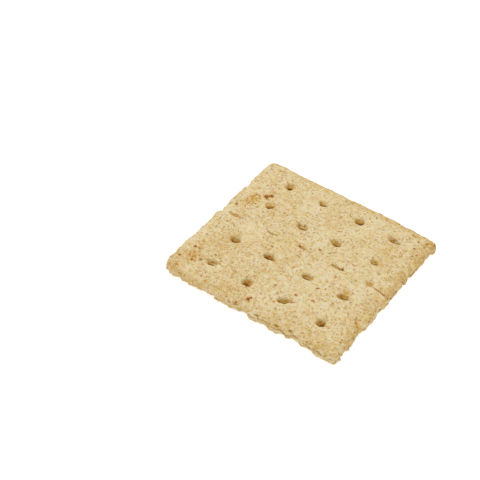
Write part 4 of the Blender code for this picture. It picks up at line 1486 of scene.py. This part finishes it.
def makeToastedFlakes():
    # The listed flakes and the crowds on the top, then those on the cut edge.
    chance = np.random.default_rng(toasted["seed"])
    groups = []
    for rows in ([*toasted["places"], *scorchedRows(chance)], toasted["rimPlaces"]):
        onTop = rows is not toasted["rimPlaces"]
        turns = np.radians([float(row[-2]) for row in rows])
        if onTop:
            frames = topFrames(*(np.array([row[:2] for row in rows]) * mm).T, turns)
        else:
            around = np.array([edgeAround(*row[:2]) for row in rows])
            frames = rimFrames(around, np.array([float(row[2]) for row in rows]), turns)
        sizes = np.array([row[-4:-2] for row in rows]) * toasted["growth"] * mm
        colours = np.array([finish[row[-1]] for row in rows])
        groups.append(flakeBatch(frames, sizes, toasted, onTop, chance, lambda: colours))
    addBits("toastedFlakes", *joinBits(groups))


crumbs = {
    "count": 460,
    "size": (0.07 * mm, 0.18 * mm),
    "layers": (0.6, 8.4),
    "standing": 0.25,  # how far a crumb's middle stands out, over its size
    "unevenness": (0.72, 1.2),
    "squash": (0.65, 1.25),
    "kinds": (("pale", 0.35), ("cream", 0.35), ("golden", 0.16), ("bran", 0.09), ("orange", 0.05)),
    "seed": 607,
}


def makeRimCrumbs():
    # Grains on the cut edge: an icosahedron each, its corners at uneven distances.
    chance = np.random.default_rng(crumbs["seed"])
    solid = bmesh.new()
    bmesh.ops.create_icosphere(solid, subdivisions=1, radius=1.0)
    solid.verts.ensure_lookup_table()
    corners = np.array([corner.co[:] for corner in solid.verts])
    faces = np.array([[corner.index for corner in face.verts] for face in solid.faces])
    solid.free()
    count = crumbs["count"]
    low, high = crumbs["size"]
    size = low + (high - low) * chance.random(count) ** 1.6
    middles, _, up = rimSurface(chance.uniform(0.0, 4.0, count), chance.uniform(*crumbs["layers"], count))
    middles = middles + up * (size * crumbs["standing"])[:, None]
    uneven = chance.uniform(*crumbs["unevenness"], (count, len(corners), 1))
    squash = chance.uniform(*crumbs["squash"], (count, 1, 3))
    points = middles[:, None] + corners[None] * uneven * squash * size[:, None, None]
    points[..., 2] = np.clip(points[..., 2], 0.0, None)
    tints = np.repeat(pickColours(crumbs["kinds"], count, chance), len(corners), axis=0)
    cell, across2d = mapCells(count)
    map2d = (cell + 0.42 * corners[None, :, :2]) / across2d
    allFaces = repeated(faces, count, len(corners))
    addBits("rimCrumbs", points.reshape(-1, 3), allFaces, map2d.reshape(-1, 2), tints)


makeBranFlakes()
makeToastedFlakes()
makeRimCrumbs()


# Floor, light and camera

studio = {
    "floorSide": 3.0,
    "floorColour": (0.45, 0.45, 0.45),
    "floorGlow": 0.72,  # the floor glows as a light table, as for a cut-out: it lights the cracker from below and lifts its shadows
    "worldStrength": 0.94,
    "keyPower": 4.6,
    "keySize": 0.9,
    "keyPlace": (-0.6, 0.62, 1.1),
}


def makeFloor():
    # A wide square that glows a little.
    side = studio["floorSide"] / 2.0
    points = np.array([[-side, -side, 0], [side, -side, 0], [side, side, 0], [-side, side, 0]], float)
    mesh = makeMesh("floor", points, np.array([4]), np.array([0, 1, 2, 3]))
    material, _, shader = newMaterial("glowingFloor", 0.9)
    shader.inputs["Base Color"].default_value = (*studio["floorColour"], 1.0)
    shader.inputs["Emission Color"].default_value = (1.0, 1.0, 1.0, 1.0)
    shader.inputs["Emission Strength"].default_value = studio["floorGlow"]
    mesh.materials.append(material)
    addThing("floor", mesh)


def addLight(name, power, size, place):
    # A square light that faces the middle of the floor.
    light = bpy.data.lights.new(name, "AREA")
    light.shape = "SQUARE"
    light.size = size
    light.energy = power
    lamp = addThing(name, light)
    lamp.location = place
    lamp.rotation_euler = (-Vector(place)).to_track_quat("-Z", "Y").to_euler()


view = {
    "target": (-18.25 * mm, -7.69 * mm, 3.75 * mm),  # the point in the middle of the picture
    "azimuth": 29.192,
    "elevation": 43.532,
    "roll": 6.501,
    "distance": 501.45 * mm,
    "lens": 120.0,
}


def makeCamera():
    # Back from the target along the azimuth and elevation, then rolled about the line of sight.
    azimuth, elevation, roll = (math.radians(view[key]) for key in ("azimuth", "elevation", "roll"))
    back = Vector((math.sin(azimuth) * math.cos(elevation), -math.cos(azimuth) * math.cos(elevation),
                   math.sin(elevation)))
    level = Vector((0.0, 0.0, 1.0)).cross(back).normalized()
    above = back.cross(level)
    right = math.cos(roll) * level + math.sin(roll) * above
    up = math.cos(roll) * above - math.sin(roll) * level
    data = bpy.data.cameras.new("camera")
    data.lens = view["lens"]
    data.sensor_width = 36.0
    data.clip_start = 0.01
    data.clip_end = 20.0
    camera = addThing("camera", data)
    aim = Matrix((right, up, back)).transposed().to_4x4()
    camera.matrix_world = Matrix.Translation(Vector(view["target"]) + back * view["distance"]) @ aim
    bpy.context.scene.camera = camera


makeFloor()
addLight("key", studio["keyPower"], studio["keySize"], studio["keyPlace"])
world = bpy.data.worlds.new("studio")
world.use_nodes = True
sky = world.node_tree.nodes["Background"].inputs
sky["Color"].default_value = (1.0, 1.0, 1.0, 1.0)
sky["Strength"].default_value = studio["worldStrength"]
bpy.context.scene.world = world
bpy.context.scene.view_settings.view_transform = "Standard"
makeCamera()
